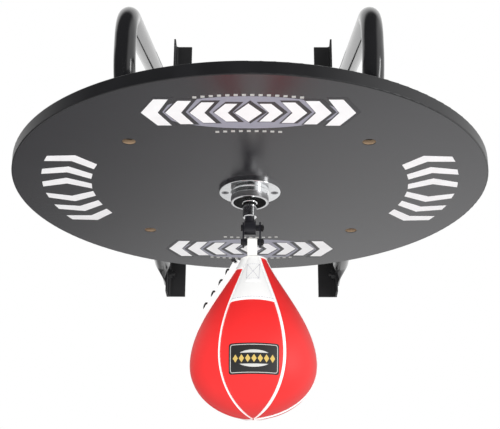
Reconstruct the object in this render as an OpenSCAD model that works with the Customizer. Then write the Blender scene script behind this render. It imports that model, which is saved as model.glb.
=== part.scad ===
// Wall-mounted speed bag platform.
// A round laminated board hangs from two bent side tubes that are bolted to a pair of
// steel wall angles. A ball-bearing swivel under the board carries a pinned link fork,
// and a laced, air-filled striking bag hangs from the fork's lower pin.
// Each module draws in the board frame: origin on the swivel axis in the board's lower
// face, +X right, +Y towards the wall, +Z up. on_wall() then moves the origin to the
// centre of the wall bolt pattern, in the plane of the wall.

/* [Board] */
// Diameter of the finished board
board_d = 600; // [500:10:760]
// Thickness of the board with its face sheets
board_t = 16; // [14:1:30]
// Thickness of each face sheet
sheet_t = 0.8; // [0.5:0.1:1.2]
// Thickness of the edge band
band_t = 1.6; // [1.4:0.1:3]
// Rounding of the edge band's corners
band_corner_r = 1.2; // [0.4:0.1:1.3]
// Thickness of the barb that holds the edge band
barb_t = 2.4; // [1.6:0.2:4]
// Depth of the barb in the board
barb_depth = 9; // [5:1:14]

/* [Board bolts] */
// Diameter of every frame and board bolt
bolt_d = 8; // [6:1:10]
// Distance between the two bolts along a side tube
board_bolt_pitch = 280; // [220:5:300]
// Diameter of the recess for a bolt head in the board
recess_d = 16; // [15:0.5:20]
// Depth of the recess for a bolt head
recess_depth = 10; // [7:0.5:11]
// Diameter of a board bolt's head
board_head_d = 13; // [12:0.5:14.5]
// Height of a board bolt's head
board_head_h = 4.5; // [3:0.5:6]
// Width across the flats of a frame nut
nut_af = 13; // [13:1:17]
// Height of a frame nut
nut_h = 6.5; // [5:0.5:9]
// Length of bolt that stands out of its nut
bolt_end = 4; // [1:0.5:6]

/* [Side tubes] */
// Outer diameter of the side tubes
tube_d = 25; // [20:1:30]
// Wall of the side tubes
tube_wall = 1.8; // [1.2:0.1:2.5]
// Distance between the two side tubes, centre to centre
tube_spacing = 280; // [200:5:360]
// Centre-line radius of both bends
bend_r = 50; // [40:1:60]
// Distance of the front legs ahead of the swivel axis
front_reach = 217; // [200:1:235]
// Straight length between the two bends
front_leg = 14; // [5:1:60]
// Slope of the upper run above the horizontal
upper_slope = 18.6; // [12:0.2:22]
// Length over which a tube end is pressed flat
flatten_len = 58; // [45:1:80]
// Length of the flat beyond the bolt
flat_end = 12; // [10:0.5:14]

/* [Wall angles] */
// Distance from the swivel axis to the wall
wall_distance = 420; // [400:5:520]
// Width of each leg of the wall angles
angle_leg = 30; // [28:1:40]
// Thickness of the wall angles
angle_t = 3; // [2.5:0.5:5]
// Root fillet of the wall angles
angle_root_r = 4; // [2:0.5:5]
// Toe rounding of the wall angles
angle_toe_r = 1.2; // [0.5:0.1:1.2]
// Length of the wall angles
angle_len = 466; // [420:2:560]
// Drop of the wall angles below the board's lower face
angle_drop = 6; // [0:1:30]
// Distance from the wall to the frame bolts
frame_bolt_inset = 15; // [14:0.5:16]
// Diameter of the wall screw holes
wall_hole_d = 9; // [6:0.5:11]
// Height between the wall screw holes
wall_hole_pitch = 340; // [280:10:380]
// Distance from an angle's outer face to its wall screw holes
wall_hole_inset = 17; // [15:0.5:20]
// Diameter of a frame bolt's round head
frame_head_d = 14; // [12:0.5:16]
// Height of a frame bolt's round head
frame_head_h = 3.2; // [2.4:0.2:5]

/* [Swivel] */
// Diameter of the swivel flange
flange_d = 78.5; // [74:0.5:90]
// Thickness of the swivel flange
flange_t = 4; // [3.5:0.1:6]
// Diameter of the circle of flange screws
flange_pcd = 63; // [60:0.5:66]
// Diameter of a flange screw's head
screw_head_d = 9.6; // [8:0.2:10]
// Diameter of a flange screw's shank
screw_d = 4; // [3:0.1:5]
// Length of a flange screw
screw_len = 15; // [12:0.5:16]
// Outer diameter of the swivel cup
cup_d = 46.6; // [46:0.2:48]
// Depth of the swivel cup below the board
cup_depth = 18; // [17:0.5:26]
// Outer diameter of the retaining ring
ring_d = 48.4; // [48.2:0.1:50]
// Height of the retaining ring
ring_h = 8.6; // [6:0.2:9.4]
// Wall of the retaining ring round the cup
ring_wall = 1.6; // [1.2:0.1:2]
// Inner diameter of the cup's open mouth
mouth_d = 42; // [40:0.2:42.6]
// Depth of the cup's open mouth
mouth_depth = 9; // [7:0.5:9.5]
// Diameter of the bearing chamber
chamber_d = 34; // [33.6:0.1:36]
// Thickness of the bearing shield
shield_t = 1.5; // [1:0.1:1.6]
// Thickness of the bearing race
race_t = 1.5; // [1:0.1:1.6]
// Diameter of the bearing balls
ball_d = 3; // [2.4:0.1:3.2]
// Number of bearing balls
ball_count = 16; // [8:1:20]
// Diameter of the stem's shaft in the bearing
shaft_d = 18; // [16:0.2:18.4]
// Diameter of the stem's collar in the cup's mouth
collar_d = 20; // [18.6:0.2:24]
// Height of the stem's collar
collar_h = 4.5; // [3:0.5:5]
// Diameter of the stem below the collar
stem_d = 17.5; // [16:0.1:18.4]
// Depth of the stem's lower end below the board
stem_bottom = 38.5; // [38:0.5:50]
// Diameter of the eye bolt's shank in the stem
shank_d = 10; // [8:0.5:11]
// Length of the eye bolt's shank in the stem
shank_len = 13; // [9:0.5:14]
// Diameter of the set screw
set_screw_d = 3.3; // [2.5:0.1:4]
// Height of the set screw above the stem's lower end
set_screw_up = 4.5; // [3:0.5:7]

/* [Link fork] */
// Distance from the stem's lower end to the upper pin
eye_drop = 14; // [13:0.5:20]
// Diameter of the eye's barrel
barrel_d = 19; // [15:0.5:21]
// Width of the eye's barrel
barrel_w = 14.2; // [12:0.1:17]
// Diameter of the eye's neck
neck_d = 12; // [11:0.2:12.6]
// Offset of the barrel's middle from the swivel axis
barrel_x = 0.6; // [-1:0.1:2]
// Gap between the two link plates
fork_gap = 19; // [18.6:0.1:26]
// Distance between the upper and lower pins
pin_pitch = 19; // [18.5:0.5:26]
// Diameter of both pins
pin_d = 5; // [4:0.1:6]
// Width of a link plate
plate_w = 15; // [13:0.5:17]
// Thickness of a link plate
plate_t = 2; // [1.6:0.1:3]
// Diameter of the spacers
spacer_d = 8.4; // [8:0.1:9.6]
// Diameter of a pin's head
pin_head_d = 8.6; // [8:0.1:10]
// Height of a pin's head
pin_head_h = 2.2; // [1.6:0.1:3]
// Width across the flats of a pin nut
pin_nut_af = 8; // [8:0.5:10]
// Height of a pin nut
pin_nut_h = 3.2; // [2.6:0.1:4]
// Length of pin that stands out of its nut
pin_end = 0.8; // [0.3:0.1:2]

/* [Bag] */
// Greatest radius of the bag
bag_r = 75.5; // [66:0.5:84]
// Length of the bag from its neck to its foot
bag_len = 203; // [190:1:220]
// Height of the bag's widest place above its foot
bag_belly_h = 58; // [54:1:64]
// Radius of the bag's neck
bag_neck_r = 13.5; // [12:0.5:15]
// Distance from the lower pin to the bag's neck
bag_drop = 19.5; // [19:0.5:28]
// Thickness of the leather panels
leather_t = 2.2; // [1.6:0.1:2.6]
// Angle of the front panel
front_panel_deg = 65; // [58:1:70]
// Width of the piping at the widest place
piping_w = 3; // [2:0.1:4]
// Height of the piping above the panels
piping_h = 1.2; // [0.8:0.1:1.6]
// Thickness of the sewn patches
patch_t = 1; // [0.6:0.1:1.1]
// Half angle of the label patch
label_half_deg = 22; // [14:1:24]
// Width of the two lacing lips together
lips_w = 5.6; // [4.4:0.2:7]
// Height of the lacing lips above the panels
lips_h = 9.5; // [6:0.5:12]
// Width of the slit between the lacing lips
lips_gap = 0.8; // [0.5:0.1:1.2]
// Diameter of the lace
lace_d = 2.6; // [2:0.1:3]
// Number of lace turns over the lips
lace_turns = 4; // [3:1:5]
// Distance of the lace holes from the lips' outer edge
lace_hole_inset = 4; // [3:0.5:5]
// Wall of the bladder
bladder_t = 1; // [0.8:0.1:1.4]
// Width of the hanging loop
loop_w = 12.4; // [10:0.1:12.6]
// Thickness of the hanging loop's leather
loop_t = 2.7; // [2:0.1:3]
// Thickness of the sewn cap under the loop
cap_t = 3; // [2:0.5:4]
// Offset of the bag and the fork from the swivel axis
hang_x = 3.5; // [2.6:0.1:3.8]

/* [Fits] */
// Radial clearance of bolts in their holes
bolt_clear = 0.3; // [0.1:0.05:0.4]
// Radial clearance of a turning shaft or pin
run_clear = 0.05; // [0.02:0.01:0.09]
// Side gap between pieces that turn on each other
side_clear = 0.3; // [0.2:0.05:0.4]
// Radial clearance of a thread or a seated piece
seat_clear = 0.03; // [0.02:0.01:0.05]

/* [Hidden] */

// Sides of round pieces
$fn = 64;
// Small overlap of cutting bodies past a face
cut = 1;

// Frame
side_x = tube_spacing / 2;
run_z = board_t + tube_d / 2;
bend_y = -front_reach + bend_r;
upper_bend_z = run_z + bend_r + front_leg;
upper_start = [bend_y - bend_r * sin(upper_slope), upper_bend_z + bend_r * cos(upper_slope)];
frame_bolt_y = wall_distance - frame_bolt_inset;
upper_len = (frame_bolt_y - upper_start[0]) / cos(upper_slope);
upper_bolt_z = upper_start[1] + upper_len * sin(upper_slope);
flat_t = 2 * tube_wall;
flat_w = PI * (tube_d - tube_wall) / 2;
flat_corner = 6;
taper_steps = 6;
bend_steps = 8;
// Points round a side tube's section, an even number
tube_sides = 28;
// Flat length from the bolt that clears the wall angle's leg on both ends of the tube
flat_reach = (angle_leg - frame_bolt_inset) / cos(upper_slope) + flat_w / 2 * tan(upper_slope) + side_clear;
angle_face_x = side_x - flat_t / 2;
wall_mount_z = -angle_drop + angle_len / 2;
nut_grip = tube_d + board_t - recess_depth;

// Swivel, from the board's lower face downwards
flange_screws = 4;
flange_edge_r = 0.8;
cup_fillet_r = 1.5;
arc_steps = 5;
ring_top = cup_depth - ring_h;
ring_seat_r = ring_d / 2 - ring_wall;
mouth_top = cup_depth - mouth_depth;
shield_top = mouth_top - shield_t;
race_top = shield_top - race_t;
ball_z = race_top - ball_d / 2;
head_bottom = race_top - ball_d - side_clear;
head_top = side_clear;
ball_pitch_r = (shaft_d + chamber_d) / 4 + 0.2;
collar_top = cup_depth + 1 - collar_h;
stem_chamfer = 0.8;

// Fork
upper_pin_z = -(stem_bottom + eye_drop);
lower_pin_z = upper_pin_z - pin_pitch;
barrel_left = barrel_x - barrel_w / 2;
barrel_right = barrel_x + barrel_w / 2;
plate_left_x = barrel_left - side_clear;
plate_right_x = plate_left_x + fork_gap;
loop_left = hang_x - loop_w / 2;
loop_right = hang_x + loop_w / 2;
loop_r = pin_d / 2 + run_clear + loop_t;
pin_len = fork_gap + 2 * plate_t + pin_nut_h + pin_end;

// Bag outline: two cubic curves that meet at the widest place
bag_top = lower_pin_z - bag_drop;
bag_foot = bag_top - bag_len;
bag_belly_z = bag_foot + bag_belly_h;
foot_pull = 0.4 * bag_r;
belly_pull_down = 0.66 * bag_belly_h;
belly_pull_up = 0.36 * (bag_len - bag_belly_h);
neck_pull = 0.3 * (bag_len - bag_belly_h);
neck_lean = 20;
curve_steps = 10;
panel_count = 6;
panel_deg = (360 - front_panel_deg) / (panel_count - 1);
front_start = -90 - 34;
piping_deg = piping_w / bag_r * 180 / PI;
lace_azimuth = front_start - panel_deg;
neck_patch_from = 0.6;
// Curve values where the lips start, reach their full height and carry their lace turns
lips_from = 0.25;
lips_full = 0.63;
lips_steps = 8;
lips_tip_h = 0.4;
slit_depth = 4;
first_turn = 0.51;
last_turn = 0.85;
// What the lace swells by at a fold
lace_fold = 0.15;
// Height that a lace turn gains on each side of the lips
turn_rise = 3;
knot_d = 7;
// Curve numbers of the two halves of the bag's outline
FOOT_HALF = 0;
NECK_HALF = 1;

function bezier(p, t) =
    pow(1 - t, 3) * p[0] + 3 * pow(1 - t, 2) * t * p[1] + 3 * (1 - t) * t * t * p[2] + pow(t, 3) * p[3];
function bezier_slope(p, t) =
    pow(1 - t, 2) * (p[1] - p[0]) + 2 * (1 - t) * t * (p[2] - p[1]) + t * t * (p[3] - p[2]);
function bag_half(h) = h == FOOT_HALF
    ? [[0, bag_foot], [foot_pull, bag_foot], [bag_r, bag_belly_z - belly_pull_down], [bag_r, bag_belly_z]]
    : [[bag_r, bag_belly_z], [bag_r, bag_belly_z + belly_pull_up],
       [bag_neck_r, bag_top] + neck_pull * [sin(neck_lean), -cos(neck_lean)], [bag_neck_r, bag_top]];
// Point of the bag's outline, moved outwards by out
function bag_point(h, t, out = 0) =
    let (d = bezier_slope(bag_half(h), t), n = [d[1], -d[0]] / norm(d)) bezier(bag_half(h), t) + out * n;
function half_points(h, from, to, out) =
    [for (i = [round(from * curve_steps) : round(to * curve_steps)]) bag_point(h, i / curve_steps, out)];
function bag_points(out) =
    concat(half_points(FOOT_HALF, 0, 1, out), half_points(NECK_HALF, 1 / curve_steps, 1, out));
function reversed(p) = [for (i = [len(p) - 1 : -1 : 0]) p[i]];
function panel_start(i) = i == 0 ? front_start : front_start + front_panel_deg + (i - 1) * panel_deg;
function panel_angle(i) = i == 0 ? front_panel_deg : panel_deg;

// ---- Helpers ----

module on_wall() translate([0, -wall_distance, -wall_mount_z]) children();

// Draws a mirrored piece on the left (-1) or right (1) side
module on_side(side) mirror([side < 0 ? 1 : 0, 0, 0]) children();

module along_x(x) translate([x, 0, 0]) rotate([0, 90, 0]) children();

module ring(d_out, d_in, h) difference() {
    cylinder(d = d_out, h = h);
    translate([0, 0, -cut]) cylinder(d = d_in, h = h + 2 * cut);
}

module hexagon(af, h) cylinder(d = af / cos(30), h = h, $fn = 6);

// ---- Board ----

function board_bolt_place(i) = [(i % 2 == 0 ? -1 : 1) * side_x, (i < 2 ? -1 : 1) * board_bolt_pitch / 2, 0];

module board_bolt_places() for (i = [0 : 3]) translate(board_bolt_place(i)) children();

module flange_screw_place(i) rotate(i * 360 / flange_screws) translate([flange_pcd / 2, 0, 0]) children();

module flange_screw_places() for (i = [0 : flange_screws - 1]) flange_screw_place(i) children();

// Hole from just below z = 0 up to z = h
module hole_up(r, h) translate([0, 0, -cut]) cylinder(r = r, h = h + cut);

module board_core() color("tan") difference() {
    translate([0, 0, sheet_t]) cylinder(d = board_d - 2 * band_t, h = board_t - 2 * sheet_t, $fn = 180);
    translate([0, 0, (board_t - barb_t) / 2]) ring(board_d, board_d - 2 * (band_t + barb_depth), barb_t);
    board_bolt_places() {
        hole_up(recess_d / 2, recess_depth);
        hole_up(bolt_d / 2 + bolt_clear, board_t + cut);
    }
    flange_screw_places() hole_up(screw_d / 2 + seat_clear, screw_len - flange_t + cut);
}

module face_sheet(z, hole_r) color([0.2, 0.2, 0.21]) translate([0, 0, z]) difference() {
    cylinder(d = board_d - 2 * band_t, h = sheet_t, $fn = 180);
    board_bolt_places() hole_up(hole_r, sheet_t + cut);
    if (z == 0) flange_screw_places() hole_up(screw_d / 2 + seat_clear, sheet_t + cut);
}

module face_sheet_bottom() face_sheet(0, recess_d / 2);

module face_sheet_top() face_sheet(board_t - sheet_t, bolt_d / 2 + bolt_clear);

module edge_band() color([0.06, 0.06, 0.065]) rotate_extrude($fn = 180) {
    translate([board_d / 2 - band_t, 0]) {
        square([band_t - band_corner_r, board_t]);
        translate([0, band_corner_r]) square([band_t, board_t - 2 * band_corner_r]);
        intersection() {
            for (y = [band_corner_r, board_t - band_corner_r])
                translate([band_t - band_corner_r, y]) circle(band_corner_r);
            square([band_t, board_t]);
        }
    }
    translate([board_d / 2 - band_t - barb_depth, (board_t - barb_t) / 2]) square([barb_depth, barb_t]);
}

// Bolt that stands on z = 0 with its head below and its shank up to z = len
module socket_bolt(d, head_d, head_h, len) {
    cylinder(d = d, h = len);
    difference() {
        translate([0, 0, -head_h]) cylinder(d = head_d, h = head_h);
        translate([0, 0, -head_h - cut]) hexagon(d * 0.6, head_h * 0.5 + cut);
    }
}

module plain_nut(af, d, h) difference() {
    face_r = af * 0.52;
    corner_r = af * 0.58;
    intersection() {
        hexagon(af, h);
        // Chamfered corners of both ends
        rotate_extrude() polygon([
            [0, 0], [face_r, 0], [corner_r, h * 0.12], [corner_r, h * 0.88], [face_r, h], [0, h]
        ]);
    }
    translate([0, 0, -cut]) cylinder(r = d / 2 + seat_clear, h = h + 2 * cut);
}

module board_bolt(i) color("dimgray") translate(board_bolt_place(i) + [0, 0, recess_depth])
    socket_bolt(bolt_d, board_head_d, board_head_h, nut_grip + nut_h + bolt_end);

module board_nut(i) color("dimgray") translate(board_bolt_place(i) + [0, 0, board_t + tube_d])
    plain_nut(nut_af, bolt_d, nut_h);

// ---- Side tubes and wall angles ----

// A station of a side tube is [y, z, heading, half width, half thickness]. The section is a
// stadium, which is a full circle where its two halves are equal.
function stadium(a, b) = [
    for (side = [1, -1], i = [0 : tube_sides / 2 - 1])
        let (w = (i + 0.5) * 360 / tube_sides - 90) side * [a - b + b * cos(w), b * sin(w)]
];
function station_points(s) = [
    for (p = stadium(s[3], s[4])) [p[1], s[0] - p[0] * sin(s[2]), s[1] + p[0] * cos(s[2])]
];
// Point at distance d along a heading from a start point
function along(from, heading, d) = [from[0] + d * cos(heading), from[1] + d * sin(heading)];
// Smooth step from 0 to 1
function eased(t) = t * t * (3 - 2 * t);
// Stations of a pressed end, from the tip of the flat at the bolt to the full round
function pressed_stations(bolt, heading, r) = [
    for (tip = [[flat_end, flat_corner], [flat_end - flat_corner, 0]])
        let (p = along(bolt, heading + 180, tip[0])) [p[0], p[1], heading, flat_w / 2 - tip[1], flat_t / 2],
    for (i = [0 : taper_steps]) let (
        t = i / taper_steps,
        p = along(bolt, heading, flat_reach + t * (flatten_len - flat_reach)),
        k = eased(t)
    ) [p[0], p[1], heading, flat_w / 2 + k * (r - flat_w / 2), flat_t / 2 + k * (r - flat_t / 2)]
];
function bend_stations(centre, from, to, r) = [
    for (i = [0 : bend_steps]) let (w = from + (to - from) * i / bend_steps)
        [centre[0] + bend_r * cos(w), centre[1] + bend_r * sin(w), w - 90, r, r]
];
// The same stations from the last to the first, with the heading turned round
function reversed_stations(s) =
    [for (p = reversed(s)) [p[0], p[1], p[2] + 180, p[3], p[4]]];

module sweep(stations) {
    n = tube_sides;
    m = len(stations);
    points = [for (s = stations) each station_points(s)];
    polyhedron(points, concat(
        [[for (j = [0 : n - 1]) j]],
        [for (i = [0 : m - 2], j = [0 : n - 1]) each let (k = (j + 1) % n)
            [[i * n + j, (i + 1) * n + k, i * n + k], [i * n + j, (i + 1) * n + j, (i + 1) * n + k]]],
        [[for (j = [n - 1 : -1 : 0]) (m - 1) * n + j]]
    ));
}

module tube_outside() sweep(concat(
    pressed_stations([frame_bolt_y, run_z], 180, tube_d / 2),
    bend_stations([bend_y, run_z + bend_r], 270, 180, tube_d / 2),
    bend_stations([bend_y, upper_bend_z], 180, 90 + upper_slope, tube_d / 2),
    reversed_stations(pressed_stations([frame_bolt_y, upper_bolt_z], upper_slope + 180, tube_d / 2))
));

module tube_inside() {
    r = tube_d / 2 - tube_wall;
    lower_end = [frame_bolt_y - flatten_len, run_z, 180, r, r];
    upper_end = along([frame_bolt_y, upper_bolt_z], upper_slope + 180, flatten_len);
    sweep(concat(
        [lower_end],
        bend_stations([bend_y, run_z + bend_r], 270, 180, r),
        bend_stations([bend_y, upper_bend_z], 180, 90 + upper_slope, r),
        [[upper_end[0], upper_end[1], upper_slope, r, r]]
    ));
}

module side_tube(side) color([0.07, 0.07, 0.07]) on_side(side) translate([side_x, 0, 0]) difference() {
    tube_outside();
    tube_inside();
    for (y = [-1, 1] * board_bolt_pitch / 2)
        translate([0, y, run_z - tube_d]) cylinder(r = bolt_d / 2 + bolt_clear, h = 2 * tube_d);
    for (z = [run_z, upper_bolt_z]) translate([0, frame_bolt_y, z]) along_x(-tube_d)
        cylinder(r = bolt_d / 2 + bolt_clear, h = 2 * tube_d);
}

module angle_section() difference() {
    union() {
        square([angle_leg, angle_t]);
        square([angle_t, angle_leg]);
        square(angle_t + angle_root_r);
    }
    translate([1, 1] * (angle_t + angle_root_r)) circle(angle_root_r);
    // Rounded toes on the inner side of each leg
    translate([angle_leg - angle_toe_r, angle_t - angle_toe_r]) difference() {
        square(2 * angle_toe_r);
        circle(angle_toe_r);
    }
    translate([angle_t - angle_toe_r, angle_leg - angle_toe_r]) difference() {
        square(2 * angle_toe_r);
        circle(angle_toe_r);
    }
}

module wall_angle(side) color([0.09, 0.09, 0.09]) on_side(side) difference() {
    translate([angle_face_x, wall_distance, -angle_drop]) rotate(180)
        linear_extrude(angle_len) angle_section();
    for (z = [-1, 1] * wall_hole_pitch / 2)
        translate([angle_face_x - wall_hole_inset, wall_distance + cut, wall_mount_z + z])
            rotate([90, 0, 0]) cylinder(d = wall_hole_d, h = angle_t + 2 * cut);
    for (z = [run_z, upper_bolt_z])
        translate([angle_face_x - angle_t - cut, frame_bolt_y, z])
            rotate([0, 90, 0]) cylinder(r = bolt_d / 2 + bolt_clear, h = angle_t + 2 * cut);
}

// Places a piece at a frame bolt with its Z axis pointing inwards from the tube's outer flat
module frame_bolt_place(i) on_side(i % 2 == 0 ? -1 : 1)
    translate([side_x + flat_t / 2, frame_bolt_y, i < 2 ? run_z : upper_bolt_z])
    rotate([0, -90, 0]) children();

module frame_bolt(i) color("dimgray") frame_bolt_place(i) {
    cylinder(d = bolt_d, h = flat_t + angle_t + nut_h + bolt_end);
    // Low round head
    rotate([180, 0, 0]) rotate_extrude() intersection() {
        square([frame_head_d / 2, frame_head_h]);
        union() {
            square([frame_head_d / 2 - frame_head_h * 0.6, frame_head_h]);
            square([frame_head_d / 2, frame_head_h * 0.4]);
            translate([frame_head_d / 2 - frame_head_h * 0.6, frame_head_h * 0.4]) circle(frame_head_h * 0.6);
        }
    }
}

module frame_nut(i) color("dimgray") frame_bolt_place(i) translate([0, 0, flat_t + angle_t])
    plain_nut(nut_af, bolt_d, nut_h);

// ---- Swivel ----

// Points of an arc round a centre, between two angles
function arc(centre, r, from, to) =
    [for (i = [0 : arc_steps]) let (w = from + (to - from) * i / arc_steps) centre + r * [cos(w), sin(w)]];

module swivel_housing() color("silver") difference() {
    rotate_extrude() polygon(concat(
        [[chamber_d / 2, 0], [flange_d / 2, 0]],
        arc([flange_d / 2 - flange_edge_r, flange_edge_r - flange_t], flange_edge_r, 0, -90),
        arc([cup_d / 2 + cup_fillet_r, -flange_t - cup_fillet_r], cup_fillet_r, 90, 180),
        [
            [cup_d / 2, -ring_top], [ring_seat_r, -ring_top], [ring_seat_r, -cup_depth],
            [mouth_d / 2, -cup_depth], [mouth_d / 2, -shield_top], [chamber_d / 2, -shield_top]
        ]
    ));
    flange_screw_places() {
        translate([0, 0, -flange_t - cut]) cylinder(r = screw_d / 2 + bolt_clear, h = flange_t + 2 * cut);
        translate([0, 0, -flange_t]) screw_cone(seat_clear, cut);
    }
}

// Countersunk cone that opens downwards at z = 0, grown sideways and carried on below
module screw_cone(grow = 0, below = 0) translate([0, 0, -below]) cylinder(
    r1 = screw_head_d / 2 + grow + below, r2 = screw_d / 2 + grow, h = (screw_head_d - screw_d) / 2 + below);

module flange_screw(i) color("silver") flange_screw_place(i) translate([0, 0, -flange_t]) difference() {
    union() {
        screw_cone();
        cylinder(d = screw_d, h = screw_len);
    }
    // Cross recess
    for (a = [0, 90]) rotate(a + 45)
        translate([-screw_head_d * 0.28, -0.6, -cut]) cube([screw_head_d * 0.56, 1.2, cut + 1.4]);
}

module retaining_ring() color("gainsboro") translate([0, 0, -cup_depth]) rotate_extrude() polygon([
    [ring_seat_r + seat_clear, 0], [ring_d / 2 - 0.4, 0], [ring_d / 2, 0.4],
    [ring_d / 2, ring_h - 1.2], [ring_d / 2 - 0.8, ring_h], [ring_seat_r + seat_clear, ring_h]
]);

module bearing_shield() color([0.05, 0.05, 0.05]) translate([0, 0, -mouth_top])
    ring(mouth_d - 2 * seat_clear, shaft_d + 4 * side_clear, shield_t);

module bearing_race() color("lightgray") translate([0, 0, -shield_top])
    ring(chamber_d - 2 * seat_clear, shaft_d + 2 * run_clear, race_t);

module bearing_balls() color("white") for (i = [0 : ball_count - 1])
    rotate(i * 360 / ball_count) translate([ball_pitch_r, 0, -ball_z]) sphere(d = ball_d, $fn = 24);

module stem() color("silver") difference() {
    union() {
        translate([0, 0, -head_bottom]) cylinder(d = chamber_d - 4 * side_clear, h = head_bottom - head_top);
        translate([0, 0, -collar_top]) cylinder(d = shaft_d, h = collar_top - head_top);
        // Collar with rounded edges
        translate([0, 0, -collar_top - collar_h]) rotate_extrude() {
            square([collar_d / 2 - 1, collar_h]);
            translate([0, 1]) square([collar_d / 2, collar_h - 2]);
            for (z = [1, collar_h - 1]) translate([collar_d / 2 - 1, z]) circle(1);
        }
        translate([0, 0, -stem_bottom + stem_chamfer])
            cylinder(d = stem_d, h = stem_bottom - stem_chamfer - collar_top);
        translate([0, 0, -stem_bottom])
            cylinder(d1 = stem_d - 2 * stem_chamfer, d2 = stem_d, h = stem_chamfer);
    }
    translate([0, 0, -stem_bottom]) hole_up(shank_d / 2 + seat_clear, shank_len + side_clear);
    translate([0, 0, -stem_bottom + set_screw_up]) rotate([90, 0, 0])
        cylinder(r = set_screw_d / 2 + seat_clear, h = stem_d);
}

module set_screw() color([0.05, 0.05, 0.05]) translate([0, 0, -stem_bottom + set_screw_up]) rotate([90, 0, 0])
    translate([0, 0, shank_d / 2 + seat_clear]) difference() {
        cylinder(d = set_screw_d, h = (stem_d - shank_d) / 2 - 0.4);
        translate([0, 0, (stem_d - shank_d) / 2 - 1.6]) hexagon(set_screw_d * 0.5, 2);
    }

module eye_bolt() color([0.06, 0.06, 0.07]) difference() {
    union() {
        translate([0, 0, -stem_bottom]) cylinder(d = shank_d, h = shank_len);
        translate([0, 0, upper_pin_z]) cylinder(d = neck_d, h = eye_drop);
        translate([0, 0, upper_pin_z]) along_x(barrel_left) cylinder(d = barrel_d, h = barrel_w);
    }
    translate([0, 0, upper_pin_z]) along_x(barrel_left) hole_up(pin_d / 2 + run_clear, barrel_w + cut);
}

// ---- Link fork ----

module link_plate(x) color([0.07, 0.07, 0.08]) difference() {
    union() {
        for (z = [upper_pin_z, lower_pin_z])
            translate([0, 0, z]) along_x(x) cylinder(d = plate_w, h = plate_t);
        translate([x, -plate_w / 2, lower_pin_z]) cube([plate_t, plate_w, pin_pitch]);
    }
    for (z = [upper_pin_z, lower_pin_z])
        translate([0, 0, z]) along_x(x) hole_up(pin_d / 2 + seat_clear, plate_t + cut);
}

// Pin with a low head outside the left plate
module fork_pin(z) color("dimgray") translate([0, 0, z]) {
    along_x(plate_left_x - plate_t) cylinder(d = pin_d, h = pin_len);
    along_x(plate_left_x - plate_t - pin_head_h) cylinder(d = pin_head_d, h = pin_head_h);
}

module fork_nut(z) color("dimgray") translate([0, 0, z]) along_x(plate_right_x + plate_t)
    plain_nut(pin_nut_af, pin_d, pin_nut_h);

module spacer(z, from, to) color([0.08, 0.08, 0.09]) translate([0, 0, z]) along_x(from)
    ring(spacer_d, pin_d + 2 * seat_clear, to - from);

// ---- Bag ----

module at_bag() translate([hang_x, 0, 0]) children();

// Wall of the bag between two distances from its outline, over a stretch of azimuth
module bag_wall(points_out, points_in, start, angle) at_bag() rotate(start)
    rotate_extrude(angle = angle) polygon(concat(points_out, reversed(points_in)));

module bag_panel(i) color("red")
    bag_wall(bag_points(0), bag_points(-leather_t), panel_start(i), panel_angle(i));

module bag_piping() color("white") for (i = [0 : panel_count - 2])
    bag_wall(bag_points(piping_h), bag_points(0), panel_start(i) - piping_deg / 2, piping_deg);

module neck_patch() color("white") bag_wall(
    half_points(NECK_HALF, neck_patch_from, 1, patch_t), half_points(NECK_HALF, neck_patch_from, 1, 0),
    front_start + piping_deg / 2, front_panel_deg - piping_deg);

module label_patch() color("black") bag_wall(
    concat(half_points(FOOT_HALF, 0.8, 1, patch_t), half_points(NECK_HALF, 0.1, 0.2, patch_t)),
    concat(half_points(FOOT_HALF, 0.8, 1, 0), half_points(NECK_HALF, 0.1, 0.2, 0)),
    front_start + front_panel_deg / 2 - label_half_deg, 2 * label_half_deg);

// Height of the lips above the panels at curve value t
function lips_out(t) = max(lips_tip_h, lips_h * min(1, (t - lips_from) / (lips_full - lips_from)));
// Edge of the lips, moved outwards by more than their height
function lips_edge(more) = [
    for (i = [0 : lips_steps]) let (t = lips_from + (1 - lips_from) * i / lips_steps)
        bag_point(NECK_HALF, t, lips_out(t) + more)
];

// Draws in the plane through the bag's axis and the lacing seam, with X outwards and Z up
module at_lacing() at_bag() rotate(lace_azimuth) children();

module lips_slab(outer, inner, w) at_lacing() rotate([90, 0, 0])
    linear_extrude(w, center = true) polygon(concat(outer, reversed(inner)));

module lace_tongue() color("white") difference() {
    lips_slab(lips_edge(0), half_points(NECK_HALF, lips_from, 1, -leather_t), lips_w);
    lips_slab(lips_edge(cut), lips_edge(-slit_depth), lips_gap);
    at_bag() rotate_extrude() polygon(concat([[0, bag_foot]], bag_points(0), [[0, bag_top]]));
}

// Round rod between two points
module rod(from, to, d) {
    way = to - from;
    long = norm(way);
    translate(from) rotate([0, acos(way[2] / long), atan2(way[1], way[0])]) cylinder(d = d, h = long);
}

// One turn of the lace over the lips, from the hole on one side to the hole on the other
module lace_turn(t) {
    fold_r = (lace_d + lace_fold) / 2;
    edge = bag_point(NECK_HALF, t, lips_out(t) + fold_r + side_clear);
    side_y = lips_w / 2 + fold_r + seat_clear;
    over = [for (y = [-side_y, side_y]) [edge[0], y, edge[1]]];
    holes = [for (side = [-1, 1]) [edge[0] - lace_hole_inset, side * side_y, edge[1] + side * turn_rise]];
    rod(over[0], over[1], lace_d);
    for (i = [0, 1]) {
        rod(over[i], holes[i], lace_d);
        translate(over[i]) sphere(d = lace_d + lace_fold);
    }
}

module lace() color([0.04, 0.04, 0.04]) at_lacing() {
    for (i = [0 : lace_turns - 1]) lace_turn(first_turn + (last_turn - first_turn) * i / (lace_turns - 1));
    // Knot beside the upper end of the lips
    knot = [bag_neck_r + lips_h, (lips_w + knot_d) / 2 + seat_clear, bag_top - knot_d / 2];
    translate(knot) sphere(d = knot_d);
    for (end = [[3, 1, -9], [-5, 2, -8]]) rod(knot, knot + end, lace_d);
}

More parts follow.
